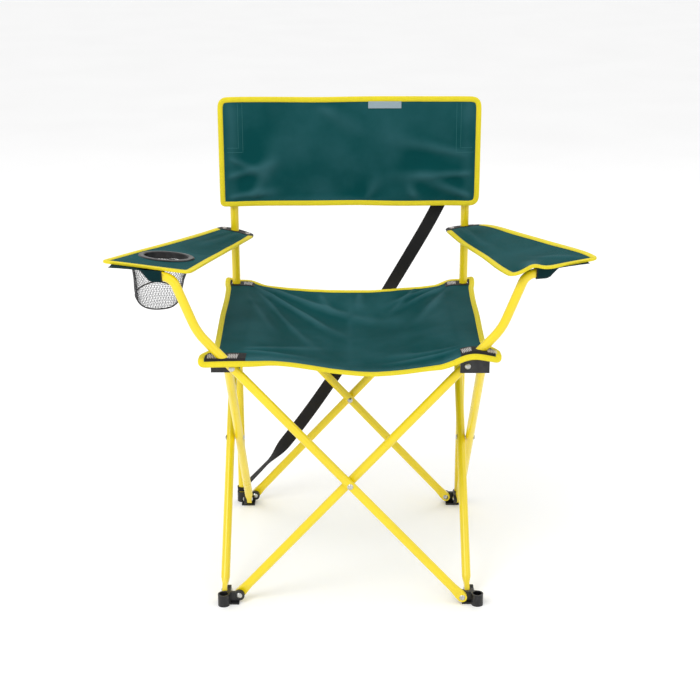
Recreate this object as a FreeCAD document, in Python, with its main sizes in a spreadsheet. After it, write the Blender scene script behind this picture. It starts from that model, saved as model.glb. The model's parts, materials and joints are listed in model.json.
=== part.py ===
"""A folding camp chair: eight scissor legs, four corner mouldings below and four above, two back posts,
a sling seat, a back panel, two arm rests with a cup holder, and a carrying strap.

Seen from the front, +X is to the right, +Y points to the rear and +Z points up.
The origin is on the ground, midway between the four feet.  All sizes are millimetres.
The frame has four equal sides.  Each side is one crossed pair of legs, an outer one and an inner one, and
every side is the rear side turned by 90 degrees about Z, so that the frame closes evenly as it folds.
"""

import FreeCAD
import Part
import math
import os

import Sketcher  # noqa: F401  registers the sketch object type

Vector = FreeCAD.Vector
Rotation = FreeCAD.Rotation
Placement = FreeCAD.Placement
X_AXIS = Vector(1, 0, 0)
Y_AXIS = Vector(0, 1, 0)
Z_AXIS = Vector(0, 0, 1)
MIDDLE = Vector(0, 0, 0)

# Driving dimensions: alias, value, what it is.
DIMENSIONS = (
    ("pin_span", 400.0, "distance between the lower pins of one side, and across the frame"),
    ("pin_low", 15.0, "height of the lower pins"),
    ("pin_rise", 435.0, "height from the lower to the upper pins, chair open"),
    ("wall_plane", 219.0, "distance of the corner mouldings' walls from the middle"),
    ("tube_radius", 8.0, "outside radius of every tube"),
    ("tube_wall", 1.0, "wall thickness of every tube"),
    ("layer_step", 8.3, "distance of a tube's middle from the wall plane"),
    ("flat_thick", 9.0, "thickness of a leg's flattened end"),
    ("flat_half", 8.6, "half width of a leg's flattened end"),
    ("flat_length", 10.0, "length of the flat beyond the pin"),
    ("flat_blend", 14.0, "length over which the flat becomes round"),
    ("wall_thick", 6.0, "thickness of a corner moulding's walls"),
    ("foot_height", 22.0, "height of a foot"),
    ("foot_floor", 3.5, "thickness of a foot's sole"),
    ("bracket_below", 12.0, "how far a front bracket reaches below the upper pin"),
    ("bracket_above", 11.0, "how far a front bracket reaches above the upper pin"),
    ("bracket_step", 4.0, "how far the right bracket's outer wall reaches above the upper pin"),
    ("bracket_gap", 0.4, "gap between a front bracket and the arm post"),
    ("bracket_inner", 187.5, "distance of a front bracket's inner end from the middle"),
    ("bracket_outer", 237.0, "distance of its front wall's outer end from the middle"),
    ("socket_wall", 2.5, "wall thickness of the tube sockets"),
    ("socket_play", 0.05, "clearance of the back post in its foot"),
    ("slide_play", 0.5, "clearance of a slider on its post"),
    ("slider_height", 30.0, "height of a slider's ring"),
    ("slider_low", 11.0, "how far the slider's ring reaches below the upper pin"),
    ("boss_radius", 9.5, "radius of the walls' round bosses at the upper pins"),
    ("rivet_radius", 2.5, "radius of the rivets' shanks"),
    ("rivet_play", 0.05, "clearance of a rivet in its hole"),
    ("dome_radius", 7.0, "sphere radius of a rivet's head"),
    ("dome_angle", 42.0, "latitude at which the head's sphere is cut"),
    ("post_top", 836.0, "height of the back posts' upper ends"),
    ("post_foot", 4.0, "height of the back posts' lower ends"),
    ("cap_height", 4.0, "height of a tube cap above the tube's end"),
    ("elbow_radius", 110.0, "bend radius of an arm post's lower bend"),
    ("wrist_radius", 26.0, "bend radius of an arm post's upper bend"),
    ("cloth_thick", 3.0, "thickness of the seat and the arm rests"),
    ("panel_thick", 5.0, "thickness of the back panel"),
    ("panel_half", 252.0, "half width of the back panel"),
    ("panel_low", 635.0, "height of the back panel's lower edge"),
    ("panel_high", 846.0, "height of the back panel's upper edge"),
    ("panel_front", 211.5, "Y of the back panel's front face"),
    ("pocket_depth", 90.0, "height of the pockets that the back posts' ends sit in"),
    ("pocket_half", 22.0, "half width of those pockets"),
    ("pocket_skin", 2.0, "thickness of the pockets' cloth"),
    ("pocket_play", 0.5, "gap between a pocket's cloth and its post"),
    ("seat_half", 243.0, "half width of the seat"),
    ("seat_fold", 188.0, "distance of the seat's side folds from its middle"),
    ("notch_front", -199.0, "Y where the seat's side strips begin behind the arm posts"),
    ("notch_rear", 211.0, "Y from which the strips' outer part is left out before the back posts"),
    ("notch_side", 210.0, "X from which it is left out"),
    ("arm_low", 574.0, "height of an arm rest's underside at its rear end"),
    ("arm_forward", 4.8, "angle at which an arm rest rises to the front"),
    ("arm_outward", 5.1, "angle at which an arm rest rises to the outside"),
    ("arm_corner", 14.0, "rounding of an arm rest's corners"),
    ("cup_bore", 38.5, "inside radius of the cup ring"),
    ("cup_rim", 49.0, "outside radius of the cup ring's rim"),
    ("cup_collar", 42.0, "outside radius of the cup ring's collar"),
    ("cup_height", 8.0, "depth of the cup ring's collar"),
    ("net_mouth", 45.2, "outside radius of the cup net's mouth"),
    ("net_depth", 70.0, "depth of the cup net"),
    ("net_floor", 36.5, "outside radius of the cup net's floor"),
    ("net_thick", 2.0, "thickness of the cup net"),
    ("strap_width", 25.0, "width of the carrying strap"),
    ("strap_thick", 1.8, "thickness of the carrying strap"),
    ("loop_height", 9.0, "height of the strap's loop round the left back post"),
)

# An arm post's line above the upper pin, as distance outboard of the middle and height.
ARM_POST = ((257.0, 512.0), (295.0, 608.2), (332.0, 611.3))

# The left arm rest's outline seen from above, from its rear inner corner round to its front inner one.
ARM_OUTLINE = ((-191.0, 205.0), (-218.0, 246.0), (-256.0, 246.0), (-411.0, -205.0), (-265.0, -240.0))
CUP_PLACE = (-319.0, -114.0)

# The flap under an arm rest's front that pockets the arm post's end: its upper line, outwards and up.
ARM_FLAP = ((310.0, 600.0), (340.0, 602.4), (404.0, 619.0))
ARM_FLAP_SPAN = (-238.0, -165.0)

# The seat from front to rear: Y, height at the side folds, height in the middle.
SEAT_SECTIONS = ((-229.0, 465.0, 442.0), (0.0, 465.0, 425.0), (222.0, 473.0, 459.0))

# The carrying strap's route, from the back panel down to the left back post.
STRAP_ROUTE = (
    Vector(207.0, 219.0, 716.0),
    Vector(190.0, 222.5, 668.0),
    Vector(160.0, 232.0, 603.0),
    Vector(119.0, 243.0, 527.0),
    Vector(74.0, 247.0, 448.0),
    Vector(24.0, 247.0, 362.0),
    Vector(-32.0, 246.0, 271.0),
    Vector(-88.0, 245.0, 188.0),
    Vector(-146.0, 244.0, 110.0),
    Vector(-196.0, 242.0, 56.0),
    Vector(-217.0, 240.5, 34.0),
)

doc = FreeCAD.newDocument("camp_chair")
sheet = doc.addObject("Spreadsheet::Sheet", "Dims")
for row, (alias, value, meaning) in enumerate(DIMENSIONS, start=1):
    sheet.set(f"A{row}", alias)
    sheet.set(f"B{row}", str(value))
    sheet.set(f"C{row}", meaning)
    sheet.setAlias(f"B{row}", alias)
doc.recompute()

nodes = []


def dim(alias):
    """A driving dimension's value, read from the sheet."""
    return float(sheet.get(alias))


def bind(item, sizes):
    """Bind an object's properties to expressions on the sheet's cells."""
    for name, text in sizes.items():
        item.setExpression(name, text)
    return item


def keep(item, name):
    """Name an object as one of the chair's pieces."""
    item.Label = name
    nodes.append(item)
    return item


def towards(direction):
    """The rotation that carries +Z to a direction."""
    return Rotation(Z_AXIS, direction)


def rod(name, radius, length, base, direction):
    """A round rod from a base point along a direction; radius and length are expressions."""
    item = doc.addObject("Part::Cylinder", name)
    bind(item, {"Radius": radius, "Height": length})
    item.Placement = Placement(base, towards(direction))
    return item


def block(name, corner, length, width, height):
    """A box from its lowest corner; the three sides are expressions."""
    item = doc.addObject("Part::Box", name)
    bind(item, {"Length": length, "Width": width, "Height": height})
    item.Placement = Placement(corner, Rotation())
    return item


def join(name, items):
    item = doc.addObject("Part::MultiFuse", name)
    item.Shapes = items
    return item


def group(name, items):
    """Separate solids that make one piece, such as the rivets of one moulding."""
    item = doc.addObject("Part::Compound", name)
    item.Links = items
    return item


def cut(name, base, tool):
    item = doc.addObject("Part::Cut", name)
    item.Base = base
    item.Tool = tool
    return item


def turned(item, quarter_turns):
    """Turn a piece about the frame's middle by quarter turns."""
    turn = Placement(MIDDLE, Rotation(Z_AXIS, 90 * quarter_turns))
    item.Placement = turn.multiply(item.Placement)
    return item


def tangent_path(points, radii):
    """One wire of straight runs joined by arcs that are tangent to them."""
    edges = []
    start = points[0]
    for before, corner, after, radius in zip(points, points[1:], points[2:], radii):
        back = (before - corner).normalize()
        ahead = (after - corner).normalize()
        half_turn = (math.pi - back.getAngle(ahead)) / 2
        reach = radius * math.tan(half_turn)
        to_centre = (back + ahead).normalize() * (radius / math.cos(half_turn))
        inside = corner + to_centre - Vector(to_centre).normalize() * radius
        edges.append(Part.LineSegment(start, corner + back * reach).toShape())
        edges.append(Part.Arc(corner + back * reach, inside, corner + ahead * reach).toShape())
        start = corner + ahead * reach
    edges.append(Part.LineSegment(start, points[-1]).toShape())
    return Part.Wire(edges)


def largest_radii(points):
    """For each inner point, the arc radius that uses 0.45 of its shorter run."""
    radii = []
    for before, corner, after in zip(points, points[1:], points[2:]):
        back = before - corner
        ahead = after - corner
        half_turn = (math.pi - back.getAngle(ahead)) / 2
        radii.append(0.45 * min(back.Length, ahead.Length) / math.tan(half_turn))
    return radii


# ---------------------------------------------------------------- frame geometry

HALF_SPAN = dim("pin_span") / 2
PIN_HIGH = dim("pin_low") + dim("pin_rise")
LEG_LENGTH = math.hypot(dim("pin_span"), dim("pin_rise"))
OUTER = dim("wall_plane") + dim("layer_step")
INNER = dim("wall_plane") - dim("layer_step")
HALF_WALL = dim("wall_thick") / 2
HALF_FLAT = dim("flat_thick") / 2
HEAD_GAP = 0.1
SIDES = ("rear", "left", "front", "right")
CORNERS = ("rear_right", "rear_left", "front_left", "front_right")


def leg_placement(plane, lean):
    """Where a leg stands on the rear side: at a distance from the middle, leaning to +X or -X."""
    foot = Vector(-lean * HALF_SPAN, plane, dim("pin_low"))
    along = Vector(lean * dim("pin_span"), 0, dim("pin_rise"))
    return Placement(foot, Rotation(Y_AXIS, math.degrees(math.atan2(along.x, along.z))))


def leg_section(name, half_x, half_y, rounding, height):
    """A closed outline of four corner arcs and four sides, across a leg at a height along it."""
    bend = rounding * (1 - math.sqrt(0.5))
    edges = []
    for quarter in range(4):
        wide, deep = (half_x, half_y) if quarter % 2 == 0 else (half_y, half_x)
        turn = Rotation(Z_AXIS, 90 * quarter)
        start = turn.multVec(Vector(wide, deep - rounding, 0))
        middle = turn.multVec(Vector(wide - bend, deep - bend, 0))
        end = turn.multVec(Vector(wide - rounding, deep, 0))
        following = turn.multVec(Vector(-(wide - rounding), deep, 0))
        edges.append(Part.Arc(start, middle, end).toShape())
        edges.append(Part.LineSegment(end, following).toShape())
    item = doc.addObject("Part::Feature", name)
    item.Shape = Part.Wire(edges)
    item.Placement = Placement(Vector(0, 0, height), Rotation())
    return item


def flattened_end(name, pin_height, way):
    """A leg's flattened end round its pin, opening into the round tube in the direction of way."""
    middle = Vector(0, -HALF_FLAT, pin_height)
    eye = rod(f"{name}_eye", "Dims.flat_half", "Dims.flat_thick", middle, Y_AXIS)
    flat = dim("flat_length")
    radius = dim("tube_radius")
    low = min(pin_height, pin_height + way * flat)
    corner = Vector(-dim("flat_half"), -HALF_FLAT, low)
    web = block(f"{name}_web", corner, "2 * Dims.flat_half", "Dims.flat_thick", "Dims.flat_length")
    near = leg_section(f"{name}_near", dim("flat_half"), HALF_FLAT, 1.5, pin_height + way * flat)
    far_height = pin_height + way * (flat + dim("flat_blend"))
    far = leg_section(f"{name}_far", radius, radius, radius - 0.4, far_height)
    shoulder = doc.addObject("Part::Loft", f"{name}_shoulder")
    shoulder.Sections = [near, far]
    shoulder.Solid = True
    return [eye, web, shoulder]


def pin_hole(name, height):
    """The cutter for a rivet's hole, through a leg at a height along it."""
    reach = 3 * dim("tube_radius")
    return rod(name, "Dims.rivet_radius + Dims.rivet_play", "6 * Dims.tube_radius",
               Vector(0, -reach, height), Y_AXIS)


def plain_leg(name, placement):
    """A straight leg with two flattened ends, hollow between them, with its three rivet holes."""
    start = dim("flat_length") + dim("flat_blend")
    round_length = LEG_LENGTH - 2 * start
    tube = doc.addObject("Part::Cylinder", f"{name}_tube")
    bind(tube, {"Radius": "Dims.tube_radius"})
    tube.Height = round_length
    tube.Placement = Placement(Vector(0, 0, start), Rotation())
    ends = flattened_end(f"{name}_low", 0, 1) + flattened_end(f"{name}_high", LEG_LENGTH, -1)
    solid = join(f"{name}_solid", [tube] + ends)
    bore = doc.addObject("Part::Cylinder", f"{name}_bore")
    bind(bore, {"Radius": "Dims.tube_radius - Dims.tube_wall"})
    bore.Height = round_length
    bore.Placement = Placement(Vector(0, 0, start), Rotation())
    holes = [pin_hole(f"{name}_hole_{k}", k * LEG_LENGTH / 2) for k in range(3)]
    leg = cut(name, solid, join(f"{name}_cutters", [bore] + holes))
    leg.Placement = placement
    return leg


def swept(name, spine, radius, start, direction):
    """A round rod along a spine, its seam between the bends' sides; radius is an expression."""
    circle = doc.addObject("Part::Circle", f"{name}_circle")
    bind(circle, {"Radius": radius})
    circle.Placement = Placement(start, towards(direction).multiply(Rotation(Z_AXIS, 45)))
    item = doc.addObject("Part::Sweep", name)
    item.Sections = [circle]
    item.Spine = (spine, ["Edge1", "Edge2", "Edge3", "Edge4", "Edge5"])
    item.Solid = True
    return item


def arm_leg(name, placement, lean):
    """A front leg that runs on past its upper pin and bends twice to become an arm post."""
    start = dim("flat_length") + dim("flat_blend")
    to_leg = placement.inverse()
    plane = placement.Base.y
    points = [Vector(0, 0, start)]
    points += [to_leg.multVec(Vector(lean * out, plane, up)) for out, up in ARM_POST]
    wire = doc.addObject("Part::Feature", f"{name}_line")
    wire.Shape = tangent_path(points, [dim("elbow_radius"), dim("wrist_radius")])
    outside = swept(f"{name}_tube", wire, "Dims.tube_radius", points[0], Z_AXIS)
    inside = swept(f"{name}_bore", wire, "Dims.tube_radius - Dims.tube_wall", points[0], Z_AXIS)
    solid = join(f"{name}_solid", [outside] + flattened_end(f"{name}_low", 0, 1))
    holes = [pin_hole(f"{name}_hole_{k}", k * LEG_LENGTH / 2) for k in range(3)]
    leg = cut(name, solid, join(f"{name}_cutters", [inside] + holes))
    leg.Placement = placement
    return leg


def rivet(name, base, direction, length):
    """A rivet with a domed head at both ends; its shank runs from base along direction."""
    shank = doc.addObject("Part::Cylinder", f"{name}_shank")
    bind(shank, {"Radius": "Dims.rivet_radius"})
    shank.Height = length
    shank.Placement = Placement(base, towards(direction))
    sunk = dim("dome_radius") * math.sin(math.radians(dim("dome_angle")))
    heads = []
    for which, foot, way in (("top", base + direction * length, 1), ("end", base, -1)):
        head = doc.addObject("Part::Sphere", f"{name}_{which}")
        bind(head, {"Radius": "Dims.dome_radius", "Angle1": "Dims.dome_angle"})
        outward = direction * way
        head.Placement = Placement(foot - outward * sunk, towards(outward))
        heads.append(head)
    return join(name, [shank] + heads)


# ---------------------------------------------------------------- legs and crossing rivets

for quarter, side in enumerate(SIDES):
    outer_place = leg_placement(OUTER, 1)
    inner_place = leg_placement(INNER, -1)
    if side == "front":
        outer = arm_leg("leg_front_outer", outer_place, 1)
        inner = arm_leg("leg_front_inner", inner_place, -1)
    else:
        outer = plain_leg(f"leg_{side}_outer", outer_place)
        inner = plain_leg(f"leg_{side}_inner", inner_place)
    keep(turned(outer, quarter), f"leg_{side}_outer")
    keep(turned(inner, quarter), f"leg_{side}_inner")
    through = 2 * (dim("layer_step") + dim("tube_radius") + HEAD_GAP)
    middle = Vector(0, dim("wall_plane") - through / 2, dim("pin_low") + dim("pin_rise") / 2)
    keep(turned(rivet(f"cross_rivet_{side}", middle, Y_AXIS, through), quarter), f"cross_rivet_{side}")


# ---------------------------------------------------------------- feet

def pin_holes(name, height):
    """The cutters for the two rivet holes in a rear right moulding's walls."""
    radius = "Dims.rivet_radius + Dims.rivet_play"
    length = "4 * Dims.wall_thick"
    back = dim("wall_plane") - 2 * dim("wall_thick")
    return [
        rod(f"{name}_hole_x", radius, length, Vector(HALF_SPAN, back, height), Y_AXIS),
        rod(f"{name}_hole_y", radius, length, Vector(back, HALF_SPAN, height), X_AXIS),
    ]


def foot(name):
    """A rear right foot: a sole, two walls with rounded ends, and the socket of a back post."""
    reach = OUTER - HALF_SPAN
    back = dim("wall_plane") - HALF_WALL
    height = dim("pin_low")
    parts = [
        block(f"{name}_sole", Vector(HALF_SPAN, HALF_SPAN, 0), str(reach), str(reach), "Dims.foot_floor"),
        block(f"{name}_wall_x", Vector(HALF_SPAN, back, 0), str(reach), "Dims.wall_thick",
              "Dims.foot_height"),
        block(f"{name}_wall_y", Vector(back, HALF_SPAN, 0), "Dims.wall_thick", str(reach),
              "Dims.foot_height"),
        rod(f"{name}_boss_x", "Dims.boss_radius", "Dims.wall_thick", Vector(HALF_SPAN, back, height), Y_AXIS),
        rod(f"{name}_boss_y", "Dims.boss_radius", "Dims.wall_thick", Vector(back, HALF_SPAN, height), X_AXIS),
    ]
    socket = rod(f"{name}_socket", "Dims.tube_radius + Dims.socket_play + Dims.socket_wall",
                 "Dims.foot_height", Vector(OUTER, OUTER, 0), Z_AXIS)
    solid = join(f"{name}_solid", parts + [socket])
    bore = rod(f"{name}_bore", "Dims.tube_radius + Dims.socket_play", "Dims.foot_height",
               Vector(OUTER, OUTER, dim("post_foot")), Z_AXIS)
    cutters = [bore] + pin_holes(name, dim("pin_low"))
    return cut(name, solid, join(f"{name}_cutters", cutters))


def corner_rivets(name, height, on_outer_x):
    """The two rivets of a rear right moulding; on_outer_x says which wall has its leg outside."""
    wall_low = dim("wall_plane") - HALF_WALL
    wall_high = dim("wall_plane") + HALF_WALL
    spans = {
        True: (wall_low - HEAD_GAP, OUTER + HALF_FLAT + HEAD_GAP),
        False: (INNER - HALF_FLAT - HEAD_GAP, wall_high + HEAD_GAP),
    }
    low_x, high_x = spans[on_outer_x]
    low_y, high_y = spans[not on_outer_x]
    return group(name, [
        rivet(f"{name}_a", Vector(low_x, HALF_SPAN, height), X_AXIS, high_x - low_x),
        rivet(f"{name}_b", Vector(HALF_SPAN, low_y, height), Y_AXIS, high_y - low_y),
    ])


for quarter, corner in enumerate(CORNERS):
    keep(turned(foot(f"foot_{corner}"), quarter), f"foot_{corner}")
    pair = corner_rivets(f"foot_rivets_{corner}", dim("pin_low"), True)
    keep(turned(pair, quarter), f"foot_rivets_{corner}")


# ---------------------------------------------------------------- back posts and sliders

def back_post(name):
    """A straight back post standing in the rear right foot."""
    base = Vector(OUTER, OUTER, dim("post_foot"))
    outside = rod(f"{name}_tube", "Dims.tube_radius", "Dims.post_top - Dims.post_foot", base, Z_AXIS)
    inside = rod(f"{name}_bore", "Dims.tube_radius - Dims.tube_wall",
                 "Dims.post_top - Dims.post_foot", base, Z_AXIS)
    return cut(name, outside, inside)


def cap(name, place, direction):
    """A tube's end cap: a disc over the end and a plug inside it."""
    plug = 2 * dim("cap_height")
    direction = Vector(direction).normalize()
    inner = rod(f"{name}_plug", "Dims.tube_radius - Dims.tube_wall - 0.05",
                "3 * Dims.cap_height", place - direction * plug, direction)
    disc = rod(f"{name}_disc", "Dims.tube_radius", "Dims.cap_height", place, direction)
    solid = join(f"{name}_solid", [inner, disc])
    rounded = doc.addObject("Part::Fillet", name)
    rounded.Base = solid
    doc.recompute()
    top = place + direction * dim("cap_height")
    rim = [k for k, edge in enumerate(solid.Shape.Edges, start=1)
           if edge.Closed and (edge.CenterOfMass - top).Length < 0.01]
    size = dim("cap_height") / 2
    rounded.Edges = [(k, size, size) for k in rim]
    return rounded


def slider(name):
    """A rear right slider: a ring on the back post and two walls for the legs' upper ends."""
    low = PIN_HIGH - dim("slider_low")
    ring = rod(f"{name}_ring", "Dims.tube_radius + Dims.slide_play + Dims.socket_wall",
               "Dims.slider_height", Vector(OUTER, OUTER, low), Z_AXIS)
    inset = HALF_SPAN
    reach = OUTER - inset
    parts = [ring]
    parts.append(block(f"{name}_wall_x", Vector(inset, dim("wall_plane") - HALF_WALL, low),
                       str(reach), "Dims.wall_thick", "2 * Dims.boss_radius"))
    parts.append(block(f"{name}_wall_y", Vector(dim("wall_plane") - HALF_WALL, inset, low),
                       "Dims.wall_thick", str(reach), "2 * Dims.boss_radius"))
    back = dim("wall_plane") - HALF_WALL
    parts.append(rod(f"{name}_boss_x", "Dims.boss_radius", "Dims.wall_thick",
                     Vector(HALF_SPAN, back, PIN_HIGH), Y_AXIS))
    parts.append(rod(f"{name}_boss_y", "Dims.boss_radius", "Dims.wall_thick",
                     Vector(back, HALF_SPAN, PIN_HIGH), X_AXIS))
    solid = join(f"{name}_solid", parts)
    bore = rod(f"{name}_bore", "Dims.tube_radius + Dims.slide_play", "2 * Dims.slider_height",
               Vector(OUTER, OUTER, low - dim("slider_height") / 2), Z_AXIS)
    return cut(name, solid, join(f"{name}_cutters", [bore] + pin_holes(name, PIN_HIGH)))


for quarter, corner in enumerate(CORNERS[:2]):
    keep(turned(back_post(f"back_post_{corner[5:]}"), quarter), f"back_post_{corner[5:]}")
    top = Vector(OUTER, OUTER, dim("post_top"))
    keep(turned(cap(f"post_cap_{corner[5:]}", top, Z_AXIS), quarter), f"post_cap_{corner[5:]}")
    keep(turned(slider(f"slider_{corner[5:]}"), quarter), f"slider_{corner[5:]}")
    pair = corner_rivets(f"slider_rivets_{corner[5:]}", PIN_HIGH, False)
    keep(turned(pair, quarter), f"slider_rivets_{corner[5:]}")


# ---------------------------------------------------------------- front brackets and arm post caps

BRACKET_LOW = PIN_HIGH - dim("bracket_below")
BRACKET_HIGH = PIN_HIGH + dim("bracket_above")


def bracket(name, side, front_face, side_high):
    """A front bracket: a wall behind or before the arm post, and a wall for the side leg's upper end.

    side is -1 on the left and 1 on the right; front_face is the Y of the front wall's front face.
    """
    thick = dim("wall_thick")
    edge = dim("wall_plane") + HALF_WALL
    left = -dim("bracket_outer") if side < 0 else dim("bracket_inner")
    height = BRACKET_HIGH - BRACKET_LOW
    front = block(f"{name}_front", Vector(left, front_face, BRACKET_LOW),
                  "Dims.bracket_outer - Dims.bracket_inner", "Dims.wall_thick", str(height))
    outside = -edge if side < 0 else edge - thick
    flank = block(f"{name}_flank", Vector(outside, front_face, BRACKET_LOW), "Dims.wall_thick",
                  str(-HALF_SPAN - front_face), str(side_high - BRACKET_LOW))
    boss = rod(f"{name}_boss", "Dims.boss_radius", "Dims.wall_thick",
               Vector(outside, -HALF_SPAN, PIN_HIGH), X_AXIS)
    solid = join(f"{name}_solid", [front, flank, boss])
    radius = "Dims.rivet_radius + Dims.rivet_play"
    hole_y = rod(f"{name}_hole_y", radius, "4 * Dims.wall_thick",
                 Vector(side * HALF_SPAN, front_face - thick, PIN_HIGH), Y_AXIS)
    hole_x = rod(f"{name}_hole_x", radius, "4 * Dims.wall_thick",
                 Vector(outside - thick, -HALF_SPAN, PIN_HIGH), X_AXIS)
    return cut(name, solid, join(f"{name}_cutters", [hole_x, hole_y]))


def bracket_rivets(name, side, low_y, high_y, low_x, high_x):
    """The rivet through the arm post and the one through the side leg's upper end."""
    start = low_x if side > 0 else -high_x
    return group(name, [
        rivet(f"{name}_a", Vector(side * HALF_SPAN, low_y, PIN_HIGH), Y_AXIS, high_y - low_y),
        rivet(f"{name}_b", Vector(start, -HALF_SPAN, PIN_HIGH), X_AXIS, high_x - low_x),
    ])


TUBE = dim("tube_radius")
WALL_LOW = dim("wall_plane") - HALF_WALL
WALL_HIGH = dim("wall_plane") + HALF_WALL
left_face = -OUTER + TUBE + dim("bracket_gap")
right_face = -INNER - TUBE - dim("bracket_gap") - dim("wall_thick")
keep(bracket("bracket_left", -1, left_face, BRACKET_HIGH), "bracket_left")
keep(bracket("bracket_right", 1, right_face, PIN_HIGH + dim("bracket_step")), "bracket_right")
pair = bracket_rivets("bracket_rivets_left", -1, -OUTER - TUBE - HEAD_GAP,
                      left_face + dim("wall_thick") + HEAD_GAP, INNER - HALF_FLAT - HEAD_GAP,
                      WALL_HIGH + HEAD_GAP)
keep(pair, "bracket_rivets_left")
pair = bracket_rivets("bracket_rivets_right", 1, right_face - HEAD_GAP, -INNER + TUBE + HEAD_GAP,
                      WALL_LOW - HEAD_GAP, OUTER + HALF_FLAT + HEAD_GAP)
keep(pair, "bracket_rivets_right")

(knee_out, knee_up), (end_out, end_up) = ARM_POST[1:]
for side, name, plane in ((-1, "left", -OUTER), (1, "right", -INNER)):
    along = Vector(side * (end_out - knee_out), 0, end_up - knee_up)
    keep(cap(f"arm_cap_{name}", Vector(side * end_out, plane, end_up), along), f"arm_cap_{name}")


# ---------------------------------------------------------------- arm rests

def sheet_normal(side):
    """The upward normal of an arm rest, which rises to the front and to the outside."""
    outward = math.tan(math.radians(dim("arm_outward")))
    forward = math.tan(math.radians(dim("arm_forward")))
    return Vector(-side * outward, forward, 1)


def sheet_height(side, x, y):
    """The height of an arm rest's underside above a point of the ground."""
    normal = sheet_normal(side)
    return dim("arm_low") - normal.x * (x - side * OUTER) - normal.y * (y - OUTER)


def sheet_point(side, x, y):
    """A point on an arm rest's underside."""
    return Vector(x, y, sheet_height(side, x, y))


def outline_sketch(body, name, corners, rounding):
    """A closed outline on the body's XY plane, its corners rounded."""
    sketch = body.newObject("Sketcher::SketchObject", name)
    plane = next(f for f in body.Origin.OriginFeatures if f.Role == "XY_Plane")
    sketch.AttachmentSupport = [(plane, "")]
    sketch.MapMode = "FlatFace"
    count = len(corners)
    points = [corners[-1] + (corners[0] - corners[-1]) * 0.5] + corners
    points.append(points[0])
    wire = tangent_path(points, [rounding] * count)
    for edge in wire.Edges:
        curve = edge.Curve
        if isinstance(curve, Part.Line):
            ends = [v.Point for v in edge.Vertexes]
            sketch.addGeometry(Part.LineSegment(*ends), False)
        else:
            first, last = edge.ParameterRange
            sketch.addGeometry(Part.ArcOfCircle(curve, first, last), False)
    return sketch


def circle_sketch(body, name, centre, radius):
    """A circle on the body's XY plane; radius is an expression."""
    sketch = body.newObject("Sketcher::SketchObject", name)
    plane = next(f for f in body.Origin.OriginFeatures if f.Role == "XY_Plane")
    sketch.AttachmentSupport = [(plane, "")]
    sketch.MapMode = "FlatFace"
    shape = sketch.addGeometry(Part.Circle(centre, Z_AXIS, 10.0), False)
    rule = sketch.addConstraint(Sketcher.Constraint("Radius", shape, 10.0))
    sketch.renameConstraint(rule, "reach")
    sketch.setExpression("Constraints.reach", radius)
    return sketch


def pocket_through(body, name, sketch):
    hole = body.newObject("PartDesign::Pocket", name)
    hole.Profile = sketch
    hole.Type = 1
    hole.Midplane = True
    return hole


def arm_rest(name, side, with_cup):
    """An arm rest's sheet, with the back post's hole and, on the left, the cup ring's hole."""
    body = doc.addObject("PartDesign::Body", name)
    place = Placement(sheet_point(side, side * OUTER, OUTER), towards(sheet_normal(side)))
    to_sheet = place.inverse()
    flat = [to_sheet.multVec(sheet_point(side, -side * x, y)) for x, y in ARM_OUTLINE]
    sketch = outline_sketch(body, f"{name}_outline", flat, dim("arm_corner"))
    pad = body.newObject("PartDesign::Pad", f"{name}_pad")
    pad.Profile = sketch
    bind(pad, {"Length": "Dims.cloth_thick"})
    holes = [("post", MIDDLE, "Dims.tube_radius + 1.2")]
    if with_cup:
        cup = to_sheet.multVec(sheet_point(side, *CUP_PLACE))
        holes.append(("cup", cup, "Dims.cup_collar + 1.5"))
    for what, centre, radius in holes:
        sketch = circle_sketch(body, f"{name}_{what}", centre, radius)
        body.Tip = pocket_through(body, f"{name}_{what}_hole", sketch)
    body.Placement = place
    return body


def arm_flap(name, side):
    """The flap under an arm rest's front, closed below the arm post's end."""
    drop = Vector(0, 0, -dim("cloth_thick") / 2)
    low, high = ARM_FLAP_SPAN
    upper = [Vector(side * out, low, up) for out, up in ARM_FLAP]
    lower = [p + drop for p in reversed(upper)]
    item = doc.addObject("Part::Feature", name)
    item.Shape = Part.Face(Part.makePolygon(upper + lower + upper[:1])).extrude(Vector(0, high - low, 0))
    return item


for side, which in ((-1, "left"), (1, "right")):
    keep(arm_rest(f"arm_{which}", side, side < 0), f"arm_{which}")
    keep(arm_flap(f"arm_flap_{which}", side), f"arm_flap_{which}")


# ---------------------------------------------------------------- cup holder

def turned_body(name, profile, placement):
    """A body of revolution about its own Z axis, from a profile of (radius, height) points."""
    body = doc.addObject("PartDesign::Body", name)
    sketch = body.newObject("Sketcher::SketchObject", f"{name}_profile")
    plane = next(f for f in body.Origin.OriginFeatures if f.Role == "XZ_Plane")
    axis = next(f for f in body.Origin.OriginFeatures if f.Role == "Z_Axis")
    sketch.AttachmentSupport = [(plane, "")]
    sketch.MapMode = "FlatFace"
    points = [Vector(r, up, 0) for r, up in profile]
    for start, end in zip(points, points[1:] + points[:1]):
        sketch.addGeometry(Part.LineSegment(start, end), False)
    spin = body.newObject("PartDesign::Revolution", f"{name}_turned")
    spin.Profile = sketch
    spin.ReferenceAxis = (axis, [""])
    spin.Angle = 360.0
    body.Tip = spin
    body.Placement = placement
    return body


rim = dim("cup_rim")
bore = dim("cup_bore")
collar = dim("cup_collar")
tall = dim("cup_height")
ring_profile = (
    (bore, -tall), (collar, -tall), (collar, 0.2), (rim - 1.5, 0.2), (rim, 1.5),
    (rim - 2.0, 3.0), (bore + 2.0, 3.4), (bore, 2.0),
)
cup_normal = sheet_normal(-1)
cup_middle = sheet_point(-1, *CUP_PLACE)
cup_top = cup_middle + Vector(cup_normal).normalize() * dim("cloth_thick")
keep(turned_body("cup_ring", ring_profile, Placement(cup_top, towards(cup_normal))), "cup_ring")

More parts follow.
